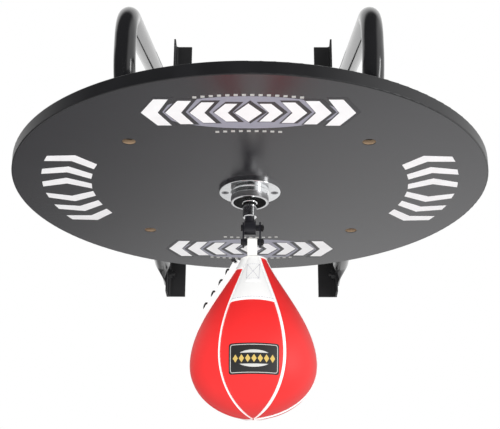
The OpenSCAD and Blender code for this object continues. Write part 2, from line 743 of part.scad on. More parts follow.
module bladder() color("darkslategray") bag_wall(
    bag_points(-leather_t - side_clear), bag_points(-leather_t - side_clear - bladder_t), 0, 360);

module hanging_loop() color("white") difference() {
    union() {
        translate([0, 0, lower_pin_z]) along_x(loop_left) cylinder(r = loop_r, h = loop_w);
        translate([loop_left, 0, 0]) rotate([90, 0, 90]) linear_extrude(loop_w) polygon([
            [-loop_r, lower_pin_z], [loop_r, lower_pin_z],
            [loop_t + 1, bag_top + cap_t], [-loop_t - 1, bag_top + cap_t]
        ]);
        at_bag() translate([0, 0, bag_top]) cylinder(r = bag_neck_r, h = cap_t);
    }
    translate([0, 0, lower_pin_z]) along_x(loop_left) hole_up(pin_d / 2 + run_clear, loop_w + cut);
}

on_wall() {
    board_core();
    face_sheet_bottom();
    face_sheet_top();
    edge_band();
    side_tube(-1);  // side_tube_left
    side_tube(1);  // side_tube_right
    wall_angle(-1);  // wall_angle_left
    wall_angle(1);  // wall_angle_right
    for (i = [0 : 3]) {
        board_bolt(i);
        board_nut(i);
        frame_bolt(i);
        frame_nut(i);
        flange_screw(i);
    }
    swivel_housing();
    retaining_ring();
    bearing_shield();
    bearing_race();
    bearing_balls();
    stem();
    set_screw();
    eye_bolt();
    link_plate(plate_left_x - plate_t);  // link_plate_left
    link_plate(plate_right_x);  // link_plate_right
    fork_pin(upper_pin_z);  // upper_pin
    fork_nut(upper_pin_z);  // upper_nut
    spacer(upper_pin_z, barrel_right + side_clear, plate_right_x);  // upper_spacer
    fork_pin(lower_pin_z);  // lower_pin
    fork_nut(lower_pin_z);  // lower_nut
    spacer(lower_pin_z, plate_left_x, loop_left - side_clear);  // lower_spacer_left
    spacer(lower_pin_z, loop_right + side_clear, plate_right_x);  // lower_spacer_right
    hanging_loop();
    for (i = [0 : panel_count - 1])
        bag_panel(i);
    bag_piping();
    neck_patch();
    label_patch();
    lace_tongue();
    lace();
    bladder();
}
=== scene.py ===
"""Dresses a wall-mounted speed bag platform for a plain studio picture.

Sizes are in millimetres and are measured from the middle of the board's lower face, with X to
the right, Y towards the wall and Z up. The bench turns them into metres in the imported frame.
"""

import logging
import math
from collections.abc import Mapping, Sequence
from dataclasses import dataclass, field
from enum import Enum
from typing import Any

import bpy
import numpy as np
from mathutils import Matrix, Vector


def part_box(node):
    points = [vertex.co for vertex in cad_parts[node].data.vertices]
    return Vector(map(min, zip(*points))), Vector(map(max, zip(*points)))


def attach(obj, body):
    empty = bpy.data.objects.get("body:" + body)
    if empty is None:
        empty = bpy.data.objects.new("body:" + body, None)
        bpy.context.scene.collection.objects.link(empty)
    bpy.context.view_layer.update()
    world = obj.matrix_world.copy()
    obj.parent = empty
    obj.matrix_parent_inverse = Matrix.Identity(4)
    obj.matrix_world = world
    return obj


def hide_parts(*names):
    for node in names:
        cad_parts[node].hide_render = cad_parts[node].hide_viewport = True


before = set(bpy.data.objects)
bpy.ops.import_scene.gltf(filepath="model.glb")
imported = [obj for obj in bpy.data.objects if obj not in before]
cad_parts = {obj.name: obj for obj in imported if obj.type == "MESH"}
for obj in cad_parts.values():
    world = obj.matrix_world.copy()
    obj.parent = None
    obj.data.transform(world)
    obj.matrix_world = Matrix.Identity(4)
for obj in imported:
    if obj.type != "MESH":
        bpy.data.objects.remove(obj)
log = logging.getLogger("platform")

Array = np.ndarray
Colour = tuple[float, float, float]
Place = tuple[float, float, float]

# A millimetre in metres
MM = 0.001


# ---- Shapes ----


def wave(count: int, start: float = 0.0, turn: float = 360.0) -> tuple[Array, Array]:
    """Cosines and sines of evenly spaced angles.

    Args:
        count: Number of angles.
        start: First angle in degrees.
        turn: Angle that the row covers, in degrees.

    Returns:
        The cosines and the sines, each with one value per angle.
    """
    angles = np.radians(start + np.arange(count) * turn / count)
    return np.cos(angles), np.sin(angles)


def eased(share: Array) -> Array:
    """Smooth step 3 t^2 - 2 t^3 of a share that is held between 0 and 1."""
    held = np.clip(share, 0.0, 1.0)
    return held * held * (3.0 - 2.0 * held)


def spread(start: float, end: float, count: int) -> Array:
    """Evenly spaced values from start to end, both included."""
    return np.linspace(start, end, count)


def unit(vectors: Array) -> Array:
    """Vectors along the last axis, each divided by its own length."""
    return vectors / np.maximum(np.linalg.norm(vectors, axis=-1, keepdims=True), 1e-9)


def section(width: float, height: float, count: int = 20, squareness: float = 4.0) -> Array:
    """Rounded rectangle as a superellipse, |2x/w|^n + |2y/h|^n = 1.

    Args:
        width: Full width along the first axis.
        height: Full height along the second axis.
        count: Number of points, an even number.
        squareness: The exponent n. 2 gives an ellipse, more gives squarer corners.

    Returns:
        Points of the closed outline, one pair a row.
    """
    c, s = wave(count)
    power = 2.0 / squareness
    x = width / 2 * np.sign(c) * np.abs(c) ** power
    y = height / 2 * np.sign(s) * np.abs(s) ** power
    return np.stack([x, y], axis=-1)


class Shape:
    """Closed forms that are gathered before they become one mesh."""

    def __init__(self) -> None:
        """Starts with nothing in the shape."""
        self.points: list[Array] = []
        self.faces: list[list[int]] = []
        self.count = 0

    def add(self, points: Array, faces: list[list[int]]) -> "Shape":
        """Adds one closed form, turned so that its faces point outwards.

        The sign of the volume, the sum of a . (b x c) / 6 over its triangles, tells the side.

        Args:
            points: One point a row.
            faces: Point numbers of each face.

        Returns:
            This shape.
        """
        fans = np.array([[f[0], f[i], f[i + 1]] for f in faces for i in range(1, len(f) - 1)])
        a, b, c = (points[fans[:, i]] for i in range(3))
        volume = float(np.einsum("ij,ij->i", a, np.cross(b, c)).sum())
        shifted = [[i + self.count for i in (f if volume > 0 else f[::-1])] for f in faces]
        self.points.append(points)
        self.faces.extend(shifted)
        self.count += len(points)
        return self

    def rings(self, rings: Array, looped: bool = False) -> "Shape":
        """Joins rings of points into a tube, closed at its ends or round in a loop.

        Args:
            rings: Ring, point and coordinate, with an even number of points a ring.
            looped: Joins the last ring to the first and leaves the ends out.

        Returns:
            This shape.
        """
        rows, cols, _ = rings.shape
        i, j = np.meshgrid(np.arange(rows if looped else rows - 1), np.arange(cols), indexing="ij")
        up, side = (i + 1) % rows, (j + 1) % cols
        quads = np.stack([i * cols + j, i * cols + side, up * cols + side, up * cols + j], axis=-1)
        faces = quads.reshape(-1, 4).tolist()
        if not looped:
            k = np.arange(cols // 2)
            last = cols - 1
            strip = np.stack([k, last - k, last - k - 1, k + 1], axis=-1)[: cols // 2 - 1]
            faces += strip.tolist()
            faces += (strip[:, ::-1] + (rows - 1) * cols).tolist()
        return self.add(rings.reshape(-1, 3), faces)

    def slab(self, top: Array, bottom: Array) -> "Shape":
        """Closes the space between two grids of the same size.

        Args:
            top: Row, column and coordinate of the upper grid.
            bottom: The lower grid.

        Returns:
            This shape.
        """
        return self.rings(np.concatenate([top, bottom[:, ::-1]], axis=1))

    def prism(self, outline: Array, low: float, high: float) -> "Shape":
        """Raises a flat outline along Z.

        Args:
            outline: Points of the closed outline, one pair a row.
            low: Height of its lower face.
            high: Height of its upper face.

        Returns:
            This shape.
        """
        n = len(outline)
        levels = [np.column_stack([outline, np.full(n, z)]) for z in (low, high)]
        j = np.arange(n)
        sides = np.stack([j, (j + 1) % n, (j + 1) % n + n, j + n], axis=-1).tolist()
        return self.add(np.concatenate(levels), sides + [j[::-1].tolist(), (j + n).tolist()])

    def tube(self, path: Array, outline: Array, across: Array, looped: bool = False) -> "Shape":
        """Carries an outline along a path: p + x a + y (t x a), with t along the path.

        Args:
            path: Points of the path, one a row.
            outline: Points of the section, or one section for each point of the path.
            across: Direction of the section's first axis, or one direction a point.
            looped: The path comes back to its start.

        Returns:
            This shape.
        """
        ahead = np.roll(path, -1, axis=0) - np.roll(path, 1, axis=0)
        if not looped:
            ahead[0], ahead[-1] = path[1] - path[0], path[-1] - path[-2]
        ahead = unit(ahead)
        first = np.broadcast_to(across, path.shape)
        second = unit(np.cross(ahead, first))
        first = np.cross(second, ahead)
        flat = np.broadcast_to(outline, (len(path),) + outline.shape[-2:])
        rings = path[:, None] + flat[..., :1] * first[:, None] + flat[..., 1:] * second[:, None]
        return self.rings(rings, looped)


def round_path(path: Array, looped: bool = False) -> Array:
    """Directions square to a path that turn as little as they can, by carrying one along it.

    Each direction is the one before, less its share along the path: a - (a . t) t.

    Args:
        path: Points of the path, one a row.
        looped: The path comes back to its start.

    Returns:
        One unit direction for each point.
    """
    ahead = unit(np.gradient(path, axis=0))
    if looped:
        ahead = unit(np.roll(path, -1, axis=0) - np.roll(path, 1, axis=0))
    start = np.eye(3)[int(np.argmin(np.abs(ahead[0])))]
    rows = []
    for direction in ahead:
        start = unit(start - float(start @ direction) * direction)
        rows.append(start)
    if looped:
        # The twist that is left over is spread along the loop
        swing = rows[-1] - float(rows[-1] @ ahead[0]) * ahead[0]
        twist = math.atan2(float(np.cross(rows[0], swing) @ ahead[0]), float(rows[0] @ swing))
        angles = -twist * np.arange(len(path)) / len(path)
        first = np.array(rows)
        second = np.cross(ahead, first)
        return np.cos(angles)[:, None] * first + np.sin(angles)[:, None] * second
    return np.array(rows)


# ---- Finishes ----


class Wire:
    """A shader value that takes part in sums, such as 1 - mask * 0.3."""

    def __init__(self, painter: "Painter", socket: bpy.types.NodeSocket) -> None:
        """Keeps the socket and the painter that adds the nodes."""
        self.painter = painter
        self.socket = socket

    def _maths(self, operation: str, first: "Wire | float", second: "Wire | float") -> "Wire":
        """One Math node on two values."""
        return self.painter.node("ShaderNodeMath", {"operation": operation}, {0: first, 1: second})

    def __add__(self, other: "Wire | float") -> "Wire":
        """self + other."""
        return self._maths("ADD", self, other)

    def __radd__(self, other: float) -> "Wire":
        """other + self."""
        return self._maths("ADD", other, self)

    def __sub__(self, other: "Wire | float") -> "Wire":
        """self - other."""
        return self._maths("SUBTRACT", self, other)

    def __rsub__(self, other: float) -> "Wire":
        """other - self."""
        return self._maths("SUBTRACT", other, self)

    def __mul__(self, other: "Wire | float") -> "Wire":
        """self * other."""
        return self._maths("MULTIPLY", self, other)

    def __rmul__(self, other: float) -> "Wire":
        """other * self."""
        return self._maths("MULTIPLY", other, self)

    def smooth(self, low: float, high: float) -> "Wire":
        """0 below low, 1 above high and a smooth step between them."""
        kind = {"interpolation_type": "SMOOTHSTEP"}
        return self.painter.node("ShaderNodeMapRange", kind, {0: self, 1: low, 2: high, 3: 0.0, 4: 1.0})


class Painter:
    """Adds nodes to one material or to the world."""

    def __init__(self, owner: bpy.types.Material | bpy.types.World) -> None:
        """Empties the owner's node tree."""
        owner.use_nodes = True
        self.tree = owner.node_tree
        self.tree.nodes.clear()

    def node(
        self,
        kind: str,
        settings: Mapping[str, Any] | None = None,
        inputs: Mapping[str | int, Any] | None = None,
        output: str | int = 0,
    ) -> Wire:
        """Adds one node.

        Args:
            kind: The node's type.
            settings: Its settings, and the stops of a ramp as (place, colour) pairs.
            inputs: Values or wires of its sockets, by name or number.
            output: The socket that is given back.

        Returns:
            The wire of that output.
        """
        made = self.tree.nodes.new(kind)
        for name, value in (settings or {}).items():
            if name == "stops":
                self._fill_ramp(made.color_ramp, value)
            else:
                setattr(made, name, value)
        for name, value in (inputs or {}).items():
            if isinstance(value, Wire):
                self.tree.links.new(value.socket, made.inputs[name])
            else:
                made.inputs[name].default_value = value
        return Wire(self, made.outputs[output] if made.outputs else None)

    def _fill_ramp(self, ramp: bpy.types.ColorRamp, stops: Sequence[tuple[float, Colour]]) -> None:
        """Sets the stops of a colour ramp."""
        while len(ramp.elements) < len(stops):
            ramp.elements.new(1.0)
        for element, (place, colour) in zip(ramp.elements, stops):
            element.position = place
            element.color = (*colour, 1.0)

    def place(self, scale: Place = (1.0, 1.0, 1.0)) -> Wire:
        """Object coordinates in millimetres, stretched by scale."""
        spot = self.node("ShaderNodeTexCoord", output="Object")
        grow = tuple(s / MM for s in scale)
        return self.node("ShaderNodeMapping", {}, {"Vector": spot, "Scale": grow})

    def noise(self, vector: Wire, size: float, detail: float = 3.0, rough: float = 0.5) -> Wire:
        """Noise from 0 to 1 whose lumps are about size millimetres wide."""
        values = {"Vector": vector, "Scale": 1.0 / size, "Detail": detail, "Roughness": rough}
        return self.node("ShaderNodeTexNoise", {}, values)

    def cells(self, vector: Wire, size: float) -> Wire:
        """Rounded distance field of cells about size millimetres wide."""
        values = {"Vector": vector, "Scale": 1.0 / size}
        return self.node("ShaderNodeTexVoronoi", {"feature": "SMOOTH_F1"}, values, "Distance")

    def ramp(self, value: Wire, stops: Sequence[tuple[float, Colour]]) -> Wire:
        """Colour that goes through the stops as the value rises."""
        return self.node("ShaderNodeValToRGB", {"stops": stops}, {0: value})

    def bump(self, height: Wire, strength: float, depth: float) -> Wire:
        """Normal of a height field, with the depth of a full step in millimetres."""
        values = {"Height": height, "Strength": strength, "Distance": depth * MM}
        return self.node("ShaderNodeBump", {}, values)

    def surface(self, inputs: Mapping[str, Any]) -> None:
        """Ends the tree with the main shader."""
        shader = self.node("ShaderNodeBsdfPrincipled", {}, inputs, "BSDF")
        self.node("ShaderNodeOutputMaterial", {}, {"Surface": shader})


@dataclass(frozen=True)
class Finish:
    """What the finishes share: a name and a slot name."""

    name: str
    slot: str

    def material(self) -> bpy.types.Material:
        """The finish's material, made the first time that it is asked for."""
        found = bpy.data.materials.get(self.name)
        if found is None:
            found = bpy.data.materials.new(self.name)
            self.draw(Painter(found))
        return found

    def draw(self, painter: Painter) -> None:
        """Adds the nodes of the finish."""
        raise NotImplementedError


def shades(colour: Colour, low: float, high: float) -> list[tuple[float, Colour]]:
    """Two stops of a ramp: the colour times low and the colour times high."""
    return [(0.3, tuple(c * low for c in colour)), (0.7, tuple(c * high for c in colour))]


@dataclass(frozen=True)
class PowderCoat(Finish):
    """Sprayed or stoved paint on steel, with a faint orange-peel skin."""

    colour: Colour = (0.02, 0.02, 0.021)
    roughness: float = 0.3
    peel: float = 2.2
    peel_depth: float = 0.05
    coat: float = 0.0

    def draw(self, painter: Painter) -> None:
        """Tone and gloss wander a little, and the skin is faintly lumpy."""
        spot = painter.place()
        tone = painter.noise(spot, 60.0, 2.0)
        skin = painter.noise(spot, self.peel, 2.0)
        painter.surface({
            "Base Color": painter.ramp(tone, shades(self.colour, 0.88, 1.12)),
            "Roughness": self.roughness + (painter.noise(spot, 14.0) - 0.5) * 0.08,
            "Coat Weight": self.coat,
            "Coat Roughness": 0.06,
            "Normal": painter.bump(skin, 0.35, self.peel_depth),
        })


@dataclass(frozen=True)
class Plate(Finish):
    """Bright plated metal, polished or with brush lines along one direction."""

    colour: Colour = (0.86, 0.87, 0.88)
    roughness: float = 0.07
    grain: Place = (1.0, 1.0, 1.0)
    grain_size: float = 18.0
    grain_depth: float = 0.01
    haze: float = 0.05

    def draw(self, painter: Painter) -> None:
        """Brush lines come from noise that is drawn out along the grain."""
        lines = painter.noise(painter.place(self.grain), self.grain_size, 3.0)
        tone = painter.noise(painter.place(), 9.0, 2.0)
        painter.surface({
            "Base Color": painter.ramp(tone, shades(self.colour, 0.95, 1.03)),
            "Metallic": 1.0,
            "Roughness": self.roughness + lines * self.haze,
            "Normal": painter.bump(lines, 0.5, self.grain_depth),
        })


@dataclass(frozen=True)
class Laminate(Finish):
    """Smooth dark skin of the board, satin enough to mirror what is near it."""

    colour: Colour = (0.0165, 0.016, 0.0195)
    roughness: float = 0.24

    def draw(self, painter: Painter) -> None:
        """A very fine print of specks, with slow changes of gloss."""
        spot = painter.place()
        specks = painter.noise(spot, 0.9, 2.0)
        cloud = painter.noise(spot, 150.0, 2.0)
        painter.surface({
            "Base Color": painter.ramp(specks * 0.5 + cloud * 0.5, shades(self.colour, 0.85, 1.15)),
            "Roughness": self.roughness + (cloud - 0.5) * 0.05,
            "Specular IOR Level": 0.62,
            "Normal": painter.bump(specks, 0.12, 0.02),
        })


@dataclass(frozen=True)
class Fibreboard(Finish):
    """Cut fibreboard with short pale and dark fibres."""

    colour: Colour = (0.34, 0.24, 0.155)

    def draw(self, painter: Painter) -> None:
        """Fibres lie in the board's plane, so the noise is squeezed along Z."""
        fibres = painter.noise(painter.place((1.0, 1.0, 3.0)), 1.4, 5.0, 0.65)
        painter.surface({
            "Base Color": painter.ramp(fibres, shades(self.colour, 0.6, 1.25)),
            "Roughness": 0.85,
            "Normal": painter.bump(fibres, 0.6, 0.25),
        })


@dataclass(frozen=True)
class Plastic(Finish):
    """Extruded plastic with fine draw lines."""

    colour: Colour = (0.008, 0.008, 0.009)
    roughness: float = 0.38

    def draw(self, painter: Painter) -> None:
        """Draw lines run round the rim, so they change along Z alone."""
        lines = painter.noise(painter.place((0.02, 0.02, 1.0)), 0.7, 3.0)
        tone = painter.noise(painter.place(), 30.0)
        painter.surface({
            "Base Color": painter.ramp(tone, shades(self.colour, 0.85, 1.2)),
            "Roughness": self.roughness + (lines - 0.5) * 0.12,
            "Normal": painter.bump(lines, 0.3, 0.04),
        })


@dataclass(frozen=True)
class Leather(Finish):
    """Coated leather with pebbled grain and fine creases."""

    colour: Colour = (0.92, 0.011, 0.002)
    roughness: float = 0.34
    grain: float = 1.1
    grain_depth: float = 0.07
    coat: float = 0.35
    shine: float = 0.14

    def draw(self, painter: Painter) -> None:
        """Pebbles are rounded cells, and their valleys are a little darker and duller."""
        spot = painter.place()
        bend = painter.noise(spot, 6.0, 2.0)
        pebbles = painter.cells(spot, self.grain)
        creases = painter.noise(spot, 3.2, 4.0, 0.6)
        tone = painter.noise(spot, 38.0, 3.0)
        height = (1.0 - pebbles) * 0.7 + creases * 0.5
        painter.surface({
            "Base Color": painter.ramp(
                tone * 0.7 + (1.0 - pebbles) * 0.3, shades(self.colour, 0.93, 1.04)
            ),
            "Roughness": self.roughness + (bend - 0.5) * 0.1 + pebbles * 0.06,
            "Coat Weight": self.coat,
            "Coat Roughness": 0.15,
            "Specular IOR Level": self.shine,
            "Normal": painter.bump(height, 0.4, self.grain_depth),
        })


@dataclass(frozen=True)
class Cord(Finish):
    """Braided cord or sewing thread, with a twill of short slanting lays."""

    colour: Colour = (0.012, 0.012, 0.013)
    lay: float = 0.7

    def draw(self, painter: Painter) -> None:
        """Two crossing rows of lays meet in the higher of both."""
        spot = painter.place()
        turned = {"Vector": spot, "Rotation": (0.0, math.radians(90.0), math.radians(45.0))}
        other = painter.node("ShaderNodeMapping", {}, turned)
        bands = {"wave_type": "BANDS", "bands_direction": "DIAGONAL"}
        one, two = (
            painter.node("ShaderNodeTexWave", bands, {"Vector": v, "Scale": 0.3 / self.lay})
            for v in (spot, other)
        )
        height = painter.node("ShaderNodeMath", {"operation": "MAXIMUM"}, {0: one, 1: two})
        painter.surface({
            "Base Color": painter.ramp(height, shades(self.colour, 0.7, 1.2)),
            "Roughness": 0.75,
            "Sheen Weight": 0.15,
            "Normal": painter.bump(height, 0.6, 0.12),
        })


@dataclass(frozen=True)
class Ink(Finish):
    """Screen-printed ink with pinholes and a slightly uneven edge tone."""

    colour: Colour = (0.8, 0.8, 0.81)
    roughness: float = 0.4

    def draw(self, painter: Painter) -> None:
        """Pinholes are the sharp lows of a fine noise."""
        spot = painter.place()
        film = painter.noise(spot, 0.5, 3.0)
        cloud = painter.noise(spot, 25.0)
        painter.surface({
            "Base Color": painter.ramp(film * 0.4 + cloud * 0.6, shades(self.colour, 0.93, 1.03)),
            "Roughness": self.roughness + (cloud - 0.5) * 0.1,
            "Normal": painter.bump(film, 0.2, 0.01),
        })


@dataclass(frozen=True)
class Rubber(Finish):
    """Matt moulded rubber."""

    colour: Colour = (0.012, 0.012, 0.012)

    def draw(self, painter: Painter) -> None:
        """A dull bloom lies over a faintly pitted skin."""
        spot = painter.place()
        bloom = painter.noise(spot, 7.0)
        pits = painter.noise(spot, 0.6)
        painter.surface({
            "Base Color": painter.ramp(bloom, shades(self.colour, 0.8, 1.5)),
            "Roughness": 0.55 + bloom * 0.15,
            "Normal": painter.bump(pits, 0.3, 0.03),
        })


class Stock(Enum):
    """Every finish of the platform."""

    FACE = Laminate("laminate_charcoal", "board_face")
    EDGE = Plastic("edge_plastic", "board_edge")
    WOOD = Fibreboard("fibreboard", "board_wood")
    TUBE = PowderCoat("gloss_black_steel", "tube_paint", (0.008, 0.008, 0.009), 0.16, 3.0, 0.05, 0.5)
    ANGLE = PowderCoat("matt_black_steel", "angle_paint", (0.014, 0.014, 0.015), 0.55, 0.9, 0.06)
    BOLT = PowderCoat("black_oxide_steel", "black_hardware", (0.012, 0.012, 0.013), 0.34, 1.2, 0.04)
    FORK = PowderCoat("fork_black", "fork_paint", (0.011, 0.011, 0.014), 0.3, 1.4, 0.05)
    CHROME = Plate("polished_chrome", "chrome")
    RING = Plate("brushed_ring", "chrome", (0.62, 0.62, 0.63), 0.26, (0.03, 0.03, 1.0), 0.35, 0.04, 0.2)
    # The flange screws are chrome; their dark grey colour is painted shade of the cross recesses and a
    # painted dark reflection.
    SCREW = Plate("screw_painted_shade", "chrome", (0.26, 0.26, 0.27), 0.3)
    BEARING = Plate("bearing_steel", "bearing_steel", (0.7, 0.71, 0.72), 0.16)
    SHIELD = Rubber("shield_rubber", "shield_rubber")
    RED = Leather("red_leather", "red_leather")
    WHITE = Leather("white_leather", "white_leather", (0.9, 0.9, 0.91), 0.42, 0.9, 0.04, 0.08, 0.4)
    STRAP = Leather("strap_leather", "white_leather", (0.88, 0.87, 0.84), 0.5, 0.8, 0.04, 0.0)
    BLACK = Leather("black_leather", "black_leather", (0.01, 0.01, 0.01), 0.45, 0.8, 0.05, 0.05, 0.25)
    LACE = Cord("black_lace", "lace_cord")
    THREAD = Cord("grey_thread", "white_leather", (0.42, 0.42, 0.46), 0.3)
    WHITE_INK = Ink("white_ink", "board_face", (0.93, 0.93, 0.94))
    LILAC_INK = Ink("lilac_ink", "board_face", (0.3, 0.3, 0.365))
    DARK_INK = Ink("dark_ink", "board_face", (0.02, 0.02, 0.024))
    GOLD_INK = Ink("gold_ink", "black_leather", (0.52, 0.37, 0.1), 0.45)
    PALE_INK = Ink("pale_ink", "black_leather", (0.5, 0.5, 0.48), 0.5)


# ---- Bench ----


@dataclass
class Bench:
    """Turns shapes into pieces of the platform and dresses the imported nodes."""

    origin: Vector = field(init=False)
    made: int = 0

    def __post_init__(self) -> None:
        """Finds the middle of the board's lower face."""
        low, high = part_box("edge_band")
        self.origin = Vector(((low.x + high.x) / 2, (low.y + high.y) / 2, low.z))

    def piece(
        self,
        shape: Shape,
        name: str,
        body: str,
        finish: Stock,
        replaces: Sequence[str] = (),
        crease: float = 35.0,
    ) -> bpy.types.Object:
        """Makes one piece from a shape.

        Args:
            shape: The closed forms, in millimetres from the board's lower face.
            name: The piece's name.
            body: The body that it rides on.
            finish: Its finish.
            replaces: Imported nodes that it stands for.
            crease: Angle in degrees above which an edge stays sharp.

        Returns:
            The piece.
        """
        points = np.concatenate(shape.points) * MM + np.array(self.origin)
        mesh = bpy.data.meshes.new(name)
        mesh.from_pydata(points.tolist(), [], shape.faces)
        mesh.update()
        mesh.shade_smooth()
        mesh.set_sharp_from_angle(angle=math.radians(crease))
        made = bpy.data.objects.new(name, mesh)
        bpy.context.scene.collection.objects.link(made)
        mesh.materials.append(finish.value.material())
        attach(made, body)
        if replaces:
            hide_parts(*replaces)
        self.made += 1
        log.info("%s rides on %s in %s", name, body, finish.value.name)
        return made

    def dress(self, finish: Stock, *nodes: str) -> None:
        """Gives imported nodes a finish.

        Args:
            finish: The finish.
            nodes: Names of the nodes.
        """
        for name in nodes:
            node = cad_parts[name]
            node.data.materials.clear()
            node.data.materials.append(finish.value.material())
            log.info("%s is dressed in %s", name, finish.value.name)


def numbered(name: str, count: int) -> list[str]:
    """The names of a numbered row of nodes, from 1 upwards."""
    return [f"{name}_{i}" for i in range(1, count + 1)]


# ---- Board ----


class Motif(Enum):
    """Marks of the printed bands, on a field one unit wide and one unit high."""

    CHEVRON = ((0.0, 0.5), (0.5, 0.5), (1.0, 0.0), (0.5, -0.5), (0.0, -0.5), (0.42, 0.0))
    LOZENGE = ((-0.5, 0.0), (0.0, 0.5), (0.5, 0.0), (0.0, -0.5))
    BAR = ((-0.5, 0.5), (0.5, 0.5), (0.5, -0.5), (-0.5, -0.5))

    def outline(self, width: float, height: float, side: int = 1) -> Array:
        """The mark at a size, pointing right (1) or left (-1)."""
        return np.array(self.value) * [width * side, height]


def grown(outline: Array, by: float) -> Array:
    """An outline whose sides are moved outwards.

    Each corner moves along the sum of the normals of its two sides, divided by 1 + their dot
    product, so that both sides end up at the same distance.

    Args:
        outline: Points of the closed outline, in either direction.
        by: Distance.

    Returns:
        The wider outline.
    """
    x, y = outline.T
    area = float(np.sum(x * np.roll(y, -1) - np.roll(x, -1) * y))
    after = unit(np.roll(outline, -1, axis=0) - outline)
    normal = np.stack([after[:, 1], -after[:, 0]], axis=-1) * math.copysign(1.0, area)
    before = np.roll(normal, 1, axis=0)
    room = np.maximum(1.0 + np.sum(before * normal, axis=1, keepdims=True), 0.4)
    return outline + by * (before + normal) / room


@dataclass
class Board:
    """The round board with its printed bands."""

    bench: Bench
    film: float = 0.06
    emblem_y: float = -213.0
    emblem_w: float = 200.0
    emblem_h: float = 76.0
    lozenge: tuple[float, float] = (30.0, 44.0)
    chevron_places: tuple[float, ...] = (12.0, 37.0, 62.0, 87.0)
    chevron: tuple[float, float] = (26.0, 42.0)
    chevron_growth: tuple[float, float] = (2.0, 6.5)
    outline_w: float = 3.0
    shade_shift: tuple[float, float] = (2.0, -1.5)
    dash: tuple[float, float] = (4.4, 4.6)
    dash_bend: float = 300.0
    side_radius: float = 232.0
    side_angles: tuple[float, ...] = (-22.5, -14.0, -5.5, 5.5, 14.0, 22.5)
    side_mark: tuple[float, float] = (30.0, 62.0)

    def build(self) -> None:
        """Dresses the board and prints both emblems and both side bands."""
        self.bench.dress(Stock.FACE, "face_sheet_bottom", "face_sheet_top")
        self.bench.dress(Stock.EDGE, "edge_band")
        self.bench.dress(Stock.WOOD, "board_core")
        self.bench.dress(Stock.BOLT, *numbered("board_bolt", 4), *numbered("board_nut", 4))
        for name, side in (("front", 1), ("rear", -1)):
            self._print(f"emblem_field_{name}", Stock.LILAC_INK, 1, [self._field(side)])
            marks = [side * (m + [0.0, self.emblem_y]) for m in self._emblem_marks()]
            dark = [grown(m, self.outline_w) + side * np.array(self.shade_shift) for m in marks]
            self._print(f"emblem_shade_{name}", Stock.DARK_INK, 2, dark)
            self._print(f"emblem_marks_{name}", Stock.WHITE_INK, 3, marks)
            self._print(f"emblem_dashes_{name}", Stock.PALE_INK, 1, self._dashes(side))
        for name, side in (("left", -1), ("right", 1)):
            self._print(f"side_marks_{name}", Stock.WHITE_INK, 2, self._side_marks(side))

    def _print(self, name: str, ink: Stock, layer: int, outlines: Sequence[Array]) -> None:
        """Lays outlines on the lower face as a film, a layer deeper for what is printed over."""
        shape = Shape()
        for outline in outlines:
            shape.prism(outline, -layer * self.film, 0.05)
        self.bench.piece(shape, name, "frame", ink, crease=30.0)

    def _field(self, side: int) -> Array:
        """Ellipse behind an emblem: (w/2 cos, h/2 sin) about its middle."""
        c, s = wave(72)
        middle = [0.0, side * self.emblem_y]
        return np.stack([self.emblem_w / 2 * c, self.emblem_h / 2 * s], axis=-1) + middle

    def _emblem_marks(self) -> list[Array]:
        """A lozenge between chevrons that grow towards both ends, about the emblem's middle."""
        marks = [Motif.LOZENGE.outline(*self.lozenge)]
        for side in (-1, 1):
            for i, place in enumerate(self.chevron_places):
                size = np.array(self.chevron) + i * np.array(self.chevron_growth)
                marks.append(Motif.CHEVRON.outline(*size, side) + [side * place, 0.0])
        return marks

    def _dashes(self, side: int) -> list[Array]:
        """Short bars along a shallow arc before and behind an emblem: y = y0 + x^2 / (2 R)."""
        bars = []
        for y, reach in ((-254.0, 58.0), (-168.0, 36.0)):
            for x in spread(-reach, reach, int(reach / 4.0)):
                bow = x * x / (2.0 * self.dash_bend)
                bars.append(side * (Motif.BAR.outline(*self.dash) + [x, y + bow]))
        return bars

    def _side_marks(self, side: int) -> list[Array]:
        """Chevrons on an arc about the board's middle, pointing away from the band's middle."""
        marks = []
        width, height = self.side_mark
        for angle in self.side_angles:
            heading = 1 if angle > 0 else -1
            flat = Motif.CHEVRON.outline(width, height, heading) - [width / 2 * heading, 0.0]
            turn = math.radians(angle if side > 0 else 180.0 - angle)
            radial = np.array([math.cos(turn), math.sin(turn)])
            tangent = unit(np.array([0.0, 1.0]) - radial * radial[1])
            marks.append(flat[:, 1:] * radial + flat[:, :1] * tangent + radial * self.side_radius)
        return marks


# ---- Frame ----


